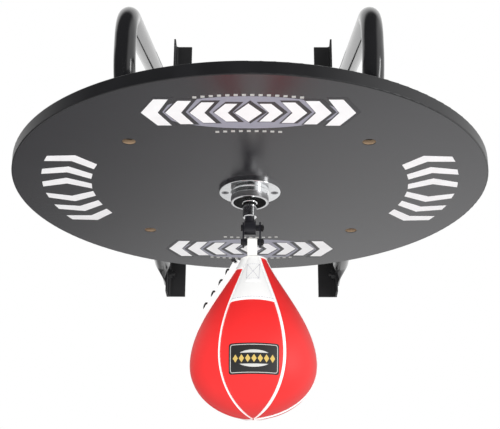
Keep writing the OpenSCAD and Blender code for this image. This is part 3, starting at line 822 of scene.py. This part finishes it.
@dataclass
class SideTubes:
    """The two bent tubes, with both ends pressed flat."""

    bench: Bench
    side_x: float = 140.0
    tube_r: float = 12.5
    run_z: float = 28.5
    bend_r: float = 50.0
    bend_y: float = -167.0
    leg: float = 14.0
    slope: float = 18.6
    bolt_y: float = 405.0
    bolt_z: float = 337.8
    flat_w: float = 36.44
    flat_t: float = 3.6
    flat_end: float = 12.0
    corner: float = 6.0
    flat_reach: float = 22.26
    press_len: float = 58.0
    sides: int = 40

    def build(self) -> None:
        """Sweeps one tube a side and dresses the wall angles and their bolts."""
        for name, side in (("left", -1), ("right", 1)):
            shape = Shape().rings(self._rings(side))
            self.bench.piece(
                shape, f"bent_tube_{name}", "frame", Stock.TUBE, [f"side_tube_{name}"], crease=50.0
            )
        self.bench.dress(Stock.ANGLE, "wall_angle_left", "wall_angle_right")
        self.bench.dress(Stock.BOLT, *numbered("frame_bolt", 4), *numbered("frame_nut", 4))

    def _pressed(self, bolt: Array, heading: float) -> Array:
        """Stations of a pressed end, from its tip to the full round.

        The half width and half thickness go from the flat's to the tube's radius by a smooth step.

        Args:
            bolt: Y and Z of the end's bolt.
            heading: Direction from the tip into the tube, in degrees above +Y.

        Returns:
            Rows of Y, Z, heading, half width and half thickness.
        """
        along = np.array([math.cos(math.radians(heading)), math.sin(math.radians(heading))])
        lead = np.array([-self.flat_end, -self.flat_end + self.corner])
        share = spread(0.0, 1.0, 22)
        reach = np.concatenate([lead, self.flat_reach + share * (self.press_len - self.flat_reach)])
        width = np.concatenate([
            [self.flat_w / 2 - self.corner, self.flat_w / 2],
            self.flat_w / 2 + eased(share) * (self.tube_r - self.flat_w / 2),
        ])
        thick = np.concatenate([
            [self.flat_t / 2] * 2, self.flat_t / 2 + eased(share) * (self.tube_r - self.flat_t / 2)
        ])
        centre = bolt + reach[:, None] * along
        return np.column_stack([centre, np.full(len(reach), heading), width, thick])

    def _bend(self, centre: Array, start: float, end: float) -> Array:
        """Stations of a bend: centre + R (cos a, sin a), heading a - 90."""
        angle = spread(start, end, 25)
        turn = np.radians(angle)
        middle = centre + self.bend_r * np.stack([np.cos(turn), np.sin(turn)], axis=-1)
        return np.column_stack([middle, angle - 90.0, np.full((25, 2), self.tube_r)])

    def _rings(self, side: int) -> Array:
        """Rings of a whole tube: a stadium that is a circle where its halves are equal."""
        upper = np.array([self.bolt_y, self.bolt_z])
        top_z = self.run_z + self.bend_r + self.leg
        back = self._pressed(upper, self.slope + 180.0)[::-1]
        back[:, 2] += 180.0
        rows = np.concatenate([
            self._pressed(np.array([self.bolt_y, self.run_z]), 180.0),
            self._bend(np.array([self.bend_y, self.run_z + self.bend_r]), 270.0, 180.0),
            self._bend(np.array([self.bend_y, top_z]), 180.0, 90.0 + self.slope),
            back,
        ])
        y, z, heading, half_w, half_t = rows.T[..., None]
        half = self.sides // 2
        c, s = wave(half, 180.0 / self.sides - 90.0, 180.0)
        end = np.repeat([1.0, -1.0], half)
        across = end * (half_w - half_t + half_t * np.tile(c, 2))
        through = end * half_t * np.tile(s, 2)
        turn = np.radians(heading)
        x = np.full_like(across, side * self.side_x) + through
        return np.stack([x, y - across * np.sin(turn), z + across * np.cos(turn)], axis=-1)


# ---- Swivel and fork ----


@dataclass
class Swivel:
    """The ball-bearing swivel and the pinned link fork."""

    bench: Bench

    def build(self) -> None:
        """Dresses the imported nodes, which have their true shapes already."""
        self.bench.dress(Stock.CHROME, "swivel_housing", "stem")
        # The screws' dark grey is painted shade and painted reflection laid over chrome heads.
        self.bench.dress(Stock.SCREW, *numbered("flange_screw", 4))
        self.bench.dress(Stock.RING, "retaining_ring")
        self.bench.dress(Stock.SHIELD, "bearing_shield")
        self.bench.dress(Stock.BEARING, "bearing_race", "bearing_balls")
        self.bench.dress(Stock.BOLT, "set_screw", "upper_pin", "upper_nut", "lower_pin", "lower_nut")
        self.bench.dress(Stock.FORK, "eye_bolt", "link_plate_left", "link_plate_right")
        self.bench.dress(Stock.FORK, "upper_spacer", "lower_spacer_left", "lower_spacer_right")


# ---- Bag ----


@dataclass
class BagForm:
    """The pear shape of the bag, with its crowned panels and drawn-in seams."""

    axis_x: float = 5.5
    radius: float = 76.2
    top: float = -97.5
    length: float = 197.0
    belly: float = 63.0
    neck: float = 16.0
    neck_lean: float = 23.4
    neck_pull: float = 0.314
    crown: float = 0.9
    groove: float = 1.1
    groove_w: float = 2.2
    full_groove_r: float = 25.0
    samples: int = 240
    seams: tuple[float, ...] = (-183.0, -121.0, -61.5, -1.0, 58.5, 117.5)
    curve: Array = field(init=False)
    belly_s: float = field(init=False)

    def __post_init__(self) -> None:
        """Samples the outline as two cubic curves that meet at the widest place.

        A row holds the length along the outline, its radius and height and the outward normal.
        """
        foot = self.top - self.length
        wide = foot + self.belly
        rise = self.length - self.belly
        lean = math.radians(self.neck_lean)
        lower = [[0.0, foot], [0.4 * self.radius, foot], [self.radius, wide - 0.66 * self.belly],
                 [self.radius, wide]]
        pull = self.neck_pull * rise
        end = [self.neck + pull * math.sin(lean), self.top - pull * math.cos(lean)]
        upper = [[self.radius, wide], [self.radius, wide + 0.36 * rise], end, [self.neck, self.top]]
        first, second = self._cubic(lower), self._cubic(upper)
        points = np.concatenate([first[:-1], second])
        step = np.linalg.norm(np.diff(points[:, :2], axis=0), axis=1)
        length = np.concatenate([[0.0], np.cumsum(step)])
        self.curve = np.column_stack([length, points])
        self.belly_s = float(length[len(first) - 1])

    def _cubic(self, corners: Sequence[Sequence[float]]) -> Array:
        """Points of (1-t)^3 a + 3 (1-t)^2 t b + 3 (1-t) t^2 c + t^3 d with their normals."""
        a, b, c, d = np.array(corners)
        t = spread(0.0, 1.0, self.samples)[:, None]
        point = (1 - t) ** 3 * a + 3 * (1 - t) ** 2 * t * b + 3 * (1 - t) * t * t * c + t**3 * d
        slope = (1 - t) ** 2 * (b - a) + 2 * (1 - t) * t * (c - b) + t * t * (d - c)
        return np.column_stack([point, unit(np.column_stack([slope[:, 1], -slope[:, 0]]))])

    @property
    def end(self) -> float:
        """Length of the outline from the foot to the neck."""
        return float(self.curve[-1, 0])

    def along_neck(self, share: float | Array) -> Array:
        """Length along the outline at a share of the upper curve's steps."""
        place = len(self.curve) - self.samples + np.asarray(share) * (self.samples - 1)
        return np.interp(place, np.arange(len(self.curve)), self.curve[:, 0])

    def around(self, s: Array) -> tuple[Array, ...]:
        """Radius, height and outward normal of the outline at lengths along it."""
        return tuple(np.interp(s, self.curve[:, 0], self.curve[:, i]) for i in range(1, 5))

    def relief(self, azimuth: Array, s: Array) -> Array:
        """Height of the cover over the plain outline.

        Each panel rises as crown sin(pi/2 u), where u goes from 0 at a seam to 1 in the middle
        of the panel, and sinks as groove exp(-(d / width)^2) at a distance d from the seam.

        Args:
            azimuth: Direction round the bag in degrees.
            s: Length along the outline.

        Returns:
            The height for each pair of values.
        """
        r = self.around(s)[0]
        marks = np.array(sorted(a % 360.0 for a in self.seams))
        turned = np.mod(azimuth, 360.0)[..., None]
        after = np.min(np.mod(marks - turned, 360.0), axis=-1)
        before = np.min(np.mod(turned - marks, 360.0), axis=-1)
        near = np.minimum(after, before)
        share = near / np.maximum((after + before) / 2.0, 1e-6)
        gap = np.radians(near) * r
        strength = np.clip(r / self.full_groove_r, 0.0, 1.0)
        rise = self.crown * np.sin(np.pi / 2 * share) * r / self.radius
        return rise - self.groove * strength * np.exp(-((gap / self.groove_w) ** 2))

    def point(self, azimuth: Array | float, s: Array | float, out: Array | float = 0.0) -> Array:
        """Points over the cover.

        Args:
            azimuth: Direction round the bag in degrees.
            s: Length along the outline from the foot.
            out: Height over the cover.

        Returns:
            Points with the shape of the three values put together.
        """
        azimuth, s, out = np.broadcast_arrays(azimuth, s, out)
        r, z, nr, nz = self.around(s)
        lift = self.relief(azimuth, s) + out
        turn = np.radians(azimuth)
        reach = r + nr * lift
        return np.stack([self.axis_x + reach * np.cos(turn), reach * np.sin(turn), z + nz * lift], axis=-1)

    def spot(self, azimuth: float, s: float, x: Array, y: Array, out: Array | float) -> Array:
        """Points of a flat drawing laid on the cover about one place, x to the right from outside."""
        along = s + np.asarray(y)
        r = self.around(along)[0]
        return self.point(azimuth + np.degrees(np.asarray(x) / np.maximum(r, 1.0)), along, out)


@dataclass
class Sewing:
    """Rows of stitches on the bag."""

    form: BagForm
    thread: float = 0.55
    length: float = 2.2
    pitch: float = 3.1

    def row(self, shape: Shape, azimuth: float, s: float, ends: Array, out: float) -> None:
        """Adds a straight row of stitches between two places of a flat drawing.

        Each stitch is a short tube whose height follows a half wave, so that its ends sink in.

        Args:
            shape: The shape that gets the stitches.
            azimuth: Direction of the drawing's middle.
            s: Length along the outline of the drawing's middle.
            ends: Two rows of x and y.
            out: Height of the leather over the cover.
        """
        run = ends[1] - ends[0]
        total = float(np.linalg.norm(run))
        count = max(2, round(total / self.pitch))
        share = spread(-0.5, 0.5, 7) * self.length
        rise = out + self.thread * 0.9 * np.cos(np.pi * spread(-0.5, 0.5, 7)) - 0.15
        for i in range(count):
            along = (i + 0.5) / count * total + share
            place = ends[0] + along[:, None] * run / total
            path = self.form.spot(azimuth, s, place[:, 0], place[:, 1], rise)
            shape.tube(path, section(self.thread, self.thread, 8, 2.0), round_path(path))


@dataclass
class Bag:
    """The laced leather bag with its strap."""

    bench: Bench
    form: BagForm
    leather: float = 2.2
    patch: float = 1.0
    patch_from: float = 0.46
    patch_bow: float = 1.6
    hem: float = 4.0
    piping_widths: tuple[float, ...] = (1.8, 3.6, 3.0, 3.0, 3.0)
    piping_h: float = 1.2
    front: tuple[float, float] = (-121.0, -61.5)
    pin_x: float = 3.5
    pin_z: float = -71.5
    strap_w: float = 12.4
    strap_t: float = 2.7
    pin_reach: float = 2.55
    tail_len: float = 46.0
    tail_spread: float = 0.42
    label_drop: float = 10.0
    label_azimuth: float = -89.2
    label: tuple[float, float] = (58.0, 35.0)
    label_corner: float = 3.0
    lace_azimuth: float = -183.0
    lips_from: float = 0.2
    lips_rise: float = 0.24
    lips_h: float = 9.5
    lip_half: float = 1.2
    lace_turns: tuple[float, ...] = (0.51, 0.6233, 0.7367, 0.85)

    @property
    def middle(self) -> float:
        """Direction of the front panel's middle."""
        return sum(self.front) / 2

    def build(self) -> None:
        """Makes every piece of the bag."""
        self._panels()
        self._piping()
        self._neck_patch()
        self._strap()
        self._label()
        self._lips()
        self._lace()

    def _panels(self) -> None:
        """Six closed leather panels between the seams."""
        seams = [*self.form.seams[1:], *(a + 360.0 for a in self.form.seams[:2])]
        form = self.form
        s = np.concatenate([spread(0.5, form.belly_s, 60), spread(form.belly_s, form.end, 91)[1:]])
        for i, (start, stop) in enumerate(zip(seams[:-1], seams[1:])):
            share = spread(0.0, 1.0, 41)
            packed = 0.5 - 0.5 * np.cos(np.pi * share)
            azimuth = start + (stop - start) * (0.35 * share + 0.65 * packed)
            grid = np.broadcast_arrays(azimuth[None, :], s[:, None])
            shape = Shape().slab(form.point(*grid, 0.0), form.point(*grid, -self.leather))
            name = f"leather_panel_{i + 1}"
            replaced = [f"bag_panel_{i + 1}", "bladder"] if i == 0 else [f"bag_panel_{i + 1}"]
            made = self.bench.piece(shape, name, "bag", Stock.RED, replaced, crease=60.0)

    def _strip(self, shape: Shape, azimuth: float, width: float) -> None:
        """Adds one strip of piping, a flattened half-round bead that narrows at the foot."""
        s = spread(1.5, self.form.end - 0.4, 120)
        r = self.form.around(s)[0]
        wide = width * np.clip(r / 30.0, 0.12, 1.0)
        across = spread(-1.0, 1.0, 15)
        x = across[None, :] * wide[:, None] / 2
        bead = self.piping_h * np.sqrt(np.clip(1.0 - across**2, 0.0, 1.0))
        angle = azimuth + np.degrees(x / np.maximum(r, 1.0)[:, None])
        lift = -self.form.relief(angle, s[:, None])
        top = self.form.point(angle, s[:, None], lift + bead[None, :])
        low = self.form.point(angle, s[:, None], lift - 1.6)
        shape.slab(top, low)

    def _piping(self) -> None:
        """Piping in every seam that isn't laced."""
        shape = Shape()
        for azimuth, width in zip(self.form.seams[1:], self.piping_widths):
            self._strip(shape, azimuth, width)
        self.bench.piece(shape, "seam_piping", "bag", Stock.WHITE, ["bag_piping"], crease=50.0)

    def _neck_patch(self) -> None:
        """White patch at the top of the front panel, carried over to the lacing near the neck.

        Its lower edge rises in the middle by bow (1 - u^2), with u from -1 to 1 across it.
        """
        low = float(self.form.along_neck(self.patch_from))
        s = spread(low, self.form.end + 0.2, 60)[:, None]
        down = self.form.end - s
        left = self.front[0] - (self.front[0] - self.lace_azimuth - 12.0) * eased((20.0 - down) / 6.0)
        share = spread(0.0, 1.0, 41)[None, :]
        azimuth = left + (self.front[1] - left) * share
        bow = self.patch_bow * (1.0 - (2.0 * share - 1.0) ** 2) * np.clip(1.0 - (s - low) / 20.0, 0.0, 1.0)
        edge = np.minimum(share, 1.0 - share) * 30.0
        side_thin = np.clip(0.55 + 0.45 * edge, 0.0, 1.0)
        foot_thin = np.clip(0.5 + (s - low) / 1.2, 0.5, 1.0)
        thick = self.patch * side_thin * foot_thin
        top = self.form.point(azimuth, s + bow, thick)
        shape = Shape().slab(top, self.form.point(azimuth, s + bow, -0.4))
        self.bench.piece(shape, "sewn_neck_patch", "bag", Stock.WHITE, ["neck_patch"], crease=50.0)
        sewing = Sewing(self.form)
        threads = Shape()
        half = math.radians(self.front[1] - self.front[0]) / 2
        r = float(self.form.around(np.array(low + self.hem))[0])
        reach = r * half - 2.5
        for start, stop in ((-reach, 0.0), (0.0, reach)):
            ends = [[x, self.hem + self.patch_bow * (1.0 - (x / (r * half)) ** 2)] for x in (start, stop)]
            sewing.row(threads, self.middle, low, np.array(ends), self.patch)
        self.bench.piece(threads, "patch_stitches", "bag", Stock.THREAD)

    def _strap(self) -> None:
        """Strap loop over the pin, its cap on the neck and its tail on the patch."""
        form = self.form
        middle = self.pin_reach + self.strap_t / 2
        arc = np.radians(spread(180.0, 0.0, 25))
        foot = form.top + 1.0
        rise = spread(foot, self.pin_z, 14)[:-1]
        lean = 3.0 + (middle - 3.0) * eased((rise - foot) / (self.pin_z - foot))
        y = np.concatenate([-lean, middle * np.cos(arc), lean[::-1]])
        z = np.concatenate([rise, self.pin_z + middle * np.sin(arc), rise[::-1]])
        across = np.where(z > form.top + 6.0, self.pin_x, (self.pin_x + form.axis_x) / 2)
        path = np.column_stack([across, y, z])
        shape = Shape().tube(path, section(self.strap_w, self.strap_t, 28, 5.0), np.array([1.0, 0.0, 0.0]))
        c, s = wave(48)
        # Rings of the neck's cap: share of the neck's radius and height over the neck
        levels = [(0.94, 0.0), (1.04, 0.5), (1.06, 1.5), (1.0, 2.6), (0.6, 3.0), (0.05, 3.0)]
        cap = np.array([
            np.column_stack([form.axis_x + form.neck * k * c, form.neck * k * s, np.full(48, form.top + h)])
            for k, h in levels
        ])
        shape.rings(cap)
        self.bench.piece(shape, "strap_loop", "bag", Stock.STRAP, ["hanging_loop"], crease=50.0)
        self._tail()

    def _tail(self) -> None:
        """Strap end that folds over the neck's rim and lies on the patch, sewn with a crossed box."""
        form = self.form
        s = spread(form.end - self.tail_len, form.end, 30)[:, None]
        across = spread(-1.0, 1.0, 17)[None, :]
        x = across * self.strap_w / 2 * (1.0 + self.tail_spread * eased((form.end - s) / 14.0))
        edge = np.clip((1.0 - np.abs(across)) * 6.0, 0.0, 1.0) * np.clip((s - s[0]) / 1.0, 0.3, 1.0)
        top = form.spot(self.middle, 0.0, x, s, self.patch + 0.1 + 0.5 * edge)
        low = form.spot(self.middle, 0.0, x, s, np.full_like(x, self.patch - 0.3))
        self.bench.piece(Shape().slab(top, low), "strap_tail", "bag", Stock.WHITE, crease=50.0)
        # Corners of the sewn box, which leans a little, with its four sides and two diagonals
        box = np.array([[-7.8, -41.0], [7.0, -41.0], [7.6, -14.0], [-7.0, -14.0]])
        sides = [(0, 1), (1, 2), (2, 3), (3, 0), (0, 2), (1, 3)]
        threads = Shape()
        sewing = Sewing(form, thread=0.5, length=1.9, pitch=2.4)
        for a, b in sides:
            sewing.row(threads, self.middle, form.end, box[[a, b]], self.patch + 0.6)
        self.bench.piece(threads, "strap_stitches", "bag", Stock.THREAD)

    def _laid(self, shape: Shape, x: Array, y: Array, low: float, high: float) -> None:
        """Adds a thin plate of the label, drawn in x and y about the label's middle."""
        x, y = np.broadcast_arrays(x, y)
        shape.slab(self._on_label(x, y, high), self._on_label(x, y, low))

    def _on_label(self, x: Array, y: Array, out: float) -> Array:
        """Points of a flat drawing about the label's middle."""
        return self.form.spot(self.label_azimuth, self.form.belly_s - self.label_drop, x, y, out)

    def _label(self) -> None:
        """Black patch with a pale border, a pale oval and a gold band of lozenges."""
        width, height = self.label
        corner = self.label_corner
        x = -np.cos(np.pi * spread(0.0, 1.0, 61))[:, None] * width / 2
        rows = spread(-1.0, 1.0, 25)[None, :]
        past = np.clip(np.abs(x) - (width / 2 - corner), 0.0, corner)
        half_h = height / 2 - corner + np.sqrt(np.maximum(corner**2 - past**2, 0.0))
        body, lines, oval, band, gold = (Shape() for _ in range(5))
        self._laid(body, x, half_h * rows, -0.3, self.patch)
        self.bench.piece(body, "sewn_label", "bag", Stock.BLACK, ["label_patch"], crease=50.0)
        self._border(lines, width - 4.0, height - 4.0, 2.6, 0.8)
        self.bench.piece(lines, "label_border", "bag", Stock.PALE_INK)
        side = spread(-0.995, 0.995, 41)[:, None]
        self._laid(oval, 21.0 * side, 9.5 * np.sqrt(1.0 - side**2) * rows, 0.6, self.patch + 0.12)
        self.bench.piece(oval, "label_oval", "bag", Stock.PALE_INK)
        self._laid(band, 24.5 * spread(-1.0, 1.0, 41)[:, None], 6.0 * rows, 0.6, self.patch + 0.2)
        self.bench.piece(band, "label_band", "bag", Stock.BLACK, crease=50.0)
        share, few = spread(-0.98, 0.98, 7)[:, None], spread(-1.0, 1.0, 5)[None, :]
        for i in range(-3, 4):
            half_lozenge = 4.4 * (1.0 - np.abs(share)) * few
            self._laid(gold, 7.0 * i + 3.0 * share, half_lozenge, 0.6, self.patch + 0.32)
        self.bench.piece(gold, "label_lozenges", "bag", Stock.GOLD_INK)

    def _border(self, shape: Shape, width: float, height: float, corner: float, line: float) -> None:
        """Adds a closed line round the label: four sides and four quarter circles."""
        x, y = width / 2 - corner, height / 2 - corner
        arcs = []
        for k, middle in enumerate(((x, y), (-x, y), (-x, -y), (x, -y))):
            turn = np.radians(90.0 * k + spread(0.0, 90.0, 8))
            arcs.append(middle + corner * np.column_stack([np.cos(turn), np.sin(turn)]))
        corners = np.concatenate(arcs)
        flat = np.concatenate([
            a + (b - a) * spread(0.0, 1.0, max(2, int(np.linalg.norm(b - a) / 2.0)))[:-1, None]
            for a, b in zip(corners, np.roll(corners, -1, axis=0))
        ])
        path = self._on_label(*flat.T, self.patch)
        outward = unit(self._on_label(*flat.T, self.patch + 1.0) - path)
        shape.tube(path, section(0.5, line, 10, 3.0), outward, looped=True)

    def _lip_height(self, share: Array) -> Array:
        """Height of the lacing lips at a share of the upper curve."""
        grown_share = np.clip((share - self.lips_from) / self.lips_rise, 0.0, 1.0)
        return np.maximum(0.4, self.lips_h * grown_share)

    def _lip_point(self, share: Array, out: Array, side: Array) -> Array:
        """Points beside the lacing seam: out over the outline, side towards the front."""
        form = self.form
        r, z, nr, nz = form.around(form.along_neck(share))
        turn = math.radians(self.lace_azimuth)
        radial = np.array([math.cos(turn), math.sin(turn), 0.0])
        sideways = np.array([-math.sin(turn), math.cos(turn), 0.0])
        reach = (r + nr * out)[..., None] * radial + np.broadcast_to(side, out.shape)[..., None] * sideways
        return reach + (z + nz * out)[..., None] * np.array([0.0, 0.0, 1.0]) + [form.axis_x, 0.0, 0.0]

    def _lips(self) -> None:
        """Two leather lips, drawn together by exp(-(d / 0.022)^2) at a share d from a lace turn."""
        share = spread(self.lips_from, 1.0, 116)[:, None]
        gaps = share - np.array(self.lace_turns)
        pull = np.exp(-((gaps / 0.022) ** 2)).sum(axis=1, keepdims=True)
        height = self._lip_height(share)
        c, s = wave(20)
        out = (height - 1.2) / 2 - 0.5 + (height + 1.0) / 2 * np.sign(c) * np.abs(c) ** 0.35
        for name, side in (("front", 1.0), ("back", -1.0)):
            across = side * (1.75 - 0.35 * pull) + self.lip_half * np.sign(s) * np.abs(s) ** 0.6
            rings = self._lip_point(np.broadcast_to(share, out.shape), np.maximum(out, -1.2), across)
            replaced = ["lace_tongue"] if side > 0 else []
            lip = Shape().rings(rings)
            self.bench.piece(lip, f"lacing_lip_{name}", "bag", Stock.WHITE, replaced, crease=60.0)

    def _lace(self) -> None:
        """Four turns of lace over the lips and the knot beside their upper end."""
        lace = Shape()
        round_cord = section(2.6, 2.0, 12, 2.4)
        turn = np.radians(spread(-90.0, 90.0, 25))
        for share in self.lace_turns:
            height = float(self._lip_height(np.array(share)))
            out = height - 1.4 + 2.4 * np.cos(turn) ** 0.6
            side = 3.7 * np.sin(turn)
            lean = share + 0.02 * np.sin(turn)
            lace.tube(self._lip_point(lean, out, side), round_cord, np.array([0.0, 0.0, 1.0]))
        self._knot(lace)
        self.bench.piece(lace, "lace_turns", "bag", Stock.LACE, ["lace"], crease=60.0)

    def _knot(self, lace: Shape) -> None:
        """Adds the knot: a trefoil (sin t + 2 sin 2t, cos t - 2 cos 2t, -sin 3t) and two ends."""
        t = np.radians(np.arange(96) * 360.0 / 96)
        curl = np.column_stack([
            np.sin(t) + 2 * np.sin(2 * t), np.cos(t) - 2 * np.cos(2 * t), -np.sin(3 * t)
        ])
        centre = self._lip_point(np.array(1.0), np.array(self.lips_h), np.array(6.0)) + [0.0, 0.0, -3.4]
        path = centre + curl * [0.85, 0.85, 1.0]
        lace.tube(path, section(2.0, 2.0, 10, 2.0), round_path(path, True), looped=True)
        for dx, dy, dz in ((1.0, -1.0, -4.0), (2.8, -0.8, -3.4)):
            share = spread(0.0, 1.0, 9)[:, None]
            end = centre + share * [dx, dy, dz] + np.sin(np.pi * share) * [1.2, -0.6, 0.0]
            lace.tube(end, section(1.9, 1.9, 10, 2.0), round_path(end))


# ---- Studio ----


@dataclass(frozen=True)
class Lamp:
    """An area lamp, in metres and watts. Glossy surfaces show it only where it is mirrored."""

    name: str
    place: Place
    size: tuple[float, float]
    power: float
    mirrored: bool


@dataclass
class Studio:
    """Camera, light, world and floor, in metres."""

    eye: Place = (0.0128, -1.7381, -0.8037)
    pitch: float = 22.38
    yaw: float = -0.54
    roll: float = 0.33
    lens: float = 80.87
    floor_z: float = -2.2
    floor_r: float = 3.0
    aim: Place = (0.0, -0.42, -0.36)
    room_light: float = 0.72
    lamps: tuple[Lamp, ...] = (
        Lamp("key", (-0.35, -2.4, -0.8), (1.3, 1.0), 40.0, False),
        Lamp("right_softbox", (1.25, -1.05, -0.55), (0.28, 1.2), 7.0, True),
    )

    def build(self) -> None:
        """Sets up the whole studio."""
        scene = bpy.context.scene
        scene.view_settings.view_transform = "Standard"
        self._camera(scene)
        self._world(scene)
        for lamp in self.lamps:
            self._hang(lamp)
        self._floor()

    def _camera(self, scene: bpy.types.Scene) -> None:
        """Points the camera along its pitch and yaw, with its own roll."""
        p, y, r = (math.radians(a) for a in (self.pitch, self.yaw, self.roll))
        ahead = Vector((math.sin(y) * math.cos(p), math.cos(y) * math.cos(p), math.sin(p)))
        level = Vector((math.cos(y), -math.sin(y), 0.0))
        rise = level.cross(ahead)
        right = math.cos(r) * level + math.sin(r) * rise
        up = math.cos(r) * rise - math.sin(r) * level
        data = bpy.data.cameras.new("camera")
        data.lens = self.lens
        data.sensor_width = 36.0
        data.clip_start = 0.01
        camera = bpy.data.objects.new("camera", data)
        turn = Matrix((right, up, -ahead)).transposed().to_4x4()
        camera.matrix_world = Matrix.Translation(self.eye) @ turn
        scene.collection.objects.link(camera)
        scene.camera = camera

    def _hang(self, lamp: Lamp) -> None:
        """Adds one lamp and turns it to the aim."""
        data = bpy.data.lights.new(lamp.name, "AREA")
        data.shape = "RECTANGLE"
        data.size, data.size_y = lamp.size
        data.energy = lamp.power
        hung = bpy.data.objects.new(lamp.name, data)
        hung.location = lamp.place
        ahead = Vector(self.aim) - Vector(lamp.place)
        hung.rotation_euler = ahead.to_track_quat("-Z", "Y").to_euler()
        hung.visible_glossy = lamp.mirrored
        bpy.context.scene.collection.objects.link(hung)

    def _world(self, scene: bpy.types.Scene) -> None:
        """White for the camera, a studio with dark and bright walls for glossy surfaces."""
        world = bpy.data.worlds.new("studio")
        scene.world = world
        painter = Painter(world)
        spot = painter.node("ShaderNodeTexCoord", output="Generated")
        split = painter.node("ShaderNodeSeparateXYZ", {}, {0: spot})
        x, y, z = (Wire(painter, split.socket.node.outputs[axis]) for axis in "XYZ")
        path = painter.node("ShaderNodeLightPath", output="Is Camera Ray")
        glossy = Wire(painter, path.socket.node.outputs["Is Glossy Ray"])
        # Directions point from the object: dark in front and below, white behind and on the right
        behind = y.smooth(0.0, 0.35)
        right = x.smooth(0.35, 0.75)
        pale = 1.0 - (1.0 - behind) * (1.0 - right)
        # The white itself fades towards the left and towards straight down
        tilt = 0.1 + 0.9 * (x * 2.46 + z * 2.2).smooth(-1.55, -0.55)
        walls = 0.06 + pale * tilt * 0.94
        level = path + (1.0 - path) * (glossy * walls + (1.0 - glossy) * self.room_light)
        light = painter.node("ShaderNodeBackground", {}, {"Color": (1.0, 1.0, 1.0, 1.0), "Strength": level})
        painter.node("ShaderNodeOutputWorld", {}, {"Surface": light})

    def _floor(self) -> None:
        """Plain pale round floor at the height that such a platform hangs at."""
        c, s = wave(96)
        rings = [
            np.column_stack([self.floor_r * c, self.floor_r * s - 0.4, np.full(96, z)])
            for z in (self.floor_z, self.floor_z - 0.02)
        ]
        mesh = bpy.data.meshes.new("floor")
        points = np.concatenate(rings)
        j = np.arange(96)
        sides = np.stack([j, j + 96, (j + 1) % 96 + 96, (j + 1) % 96], axis=-1).tolist()
        mesh.from_pydata(points.tolist(), [], sides + [j.tolist(), (j[::-1] + 96).tolist()])
        floor = bpy.data.objects.new("floor", mesh)
        bpy.context.scene.collection.objects.link(floor)
        material = bpy.data.materials.new("floor_paint")
        painter = Painter(material)
        tone = painter.noise(painter.place(), 300.0, 2.0)
        grey = painter.ramp(tone, shades((0.8, 0.8, 0.8), 0.98, 1.02))
        painter.surface({"Base Color": grey, "Roughness": 0.8})
        mesh.materials.append(material)


def main() -> None:
    """Builds the platform, its bag and the studio."""
    logging.basicConfig(level=logging.INFO, format="%(name)s: %(message)s")
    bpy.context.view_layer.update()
    bench = Bench()
    Board(bench).build()
    SideTubes(bench).build()
    Swivel(bench).build()
    Bag(bench, BagForm()).build()
    Studio().build()
    log.info("%d pieces made", bench.made)


if __name__ == "__main__":
    main()
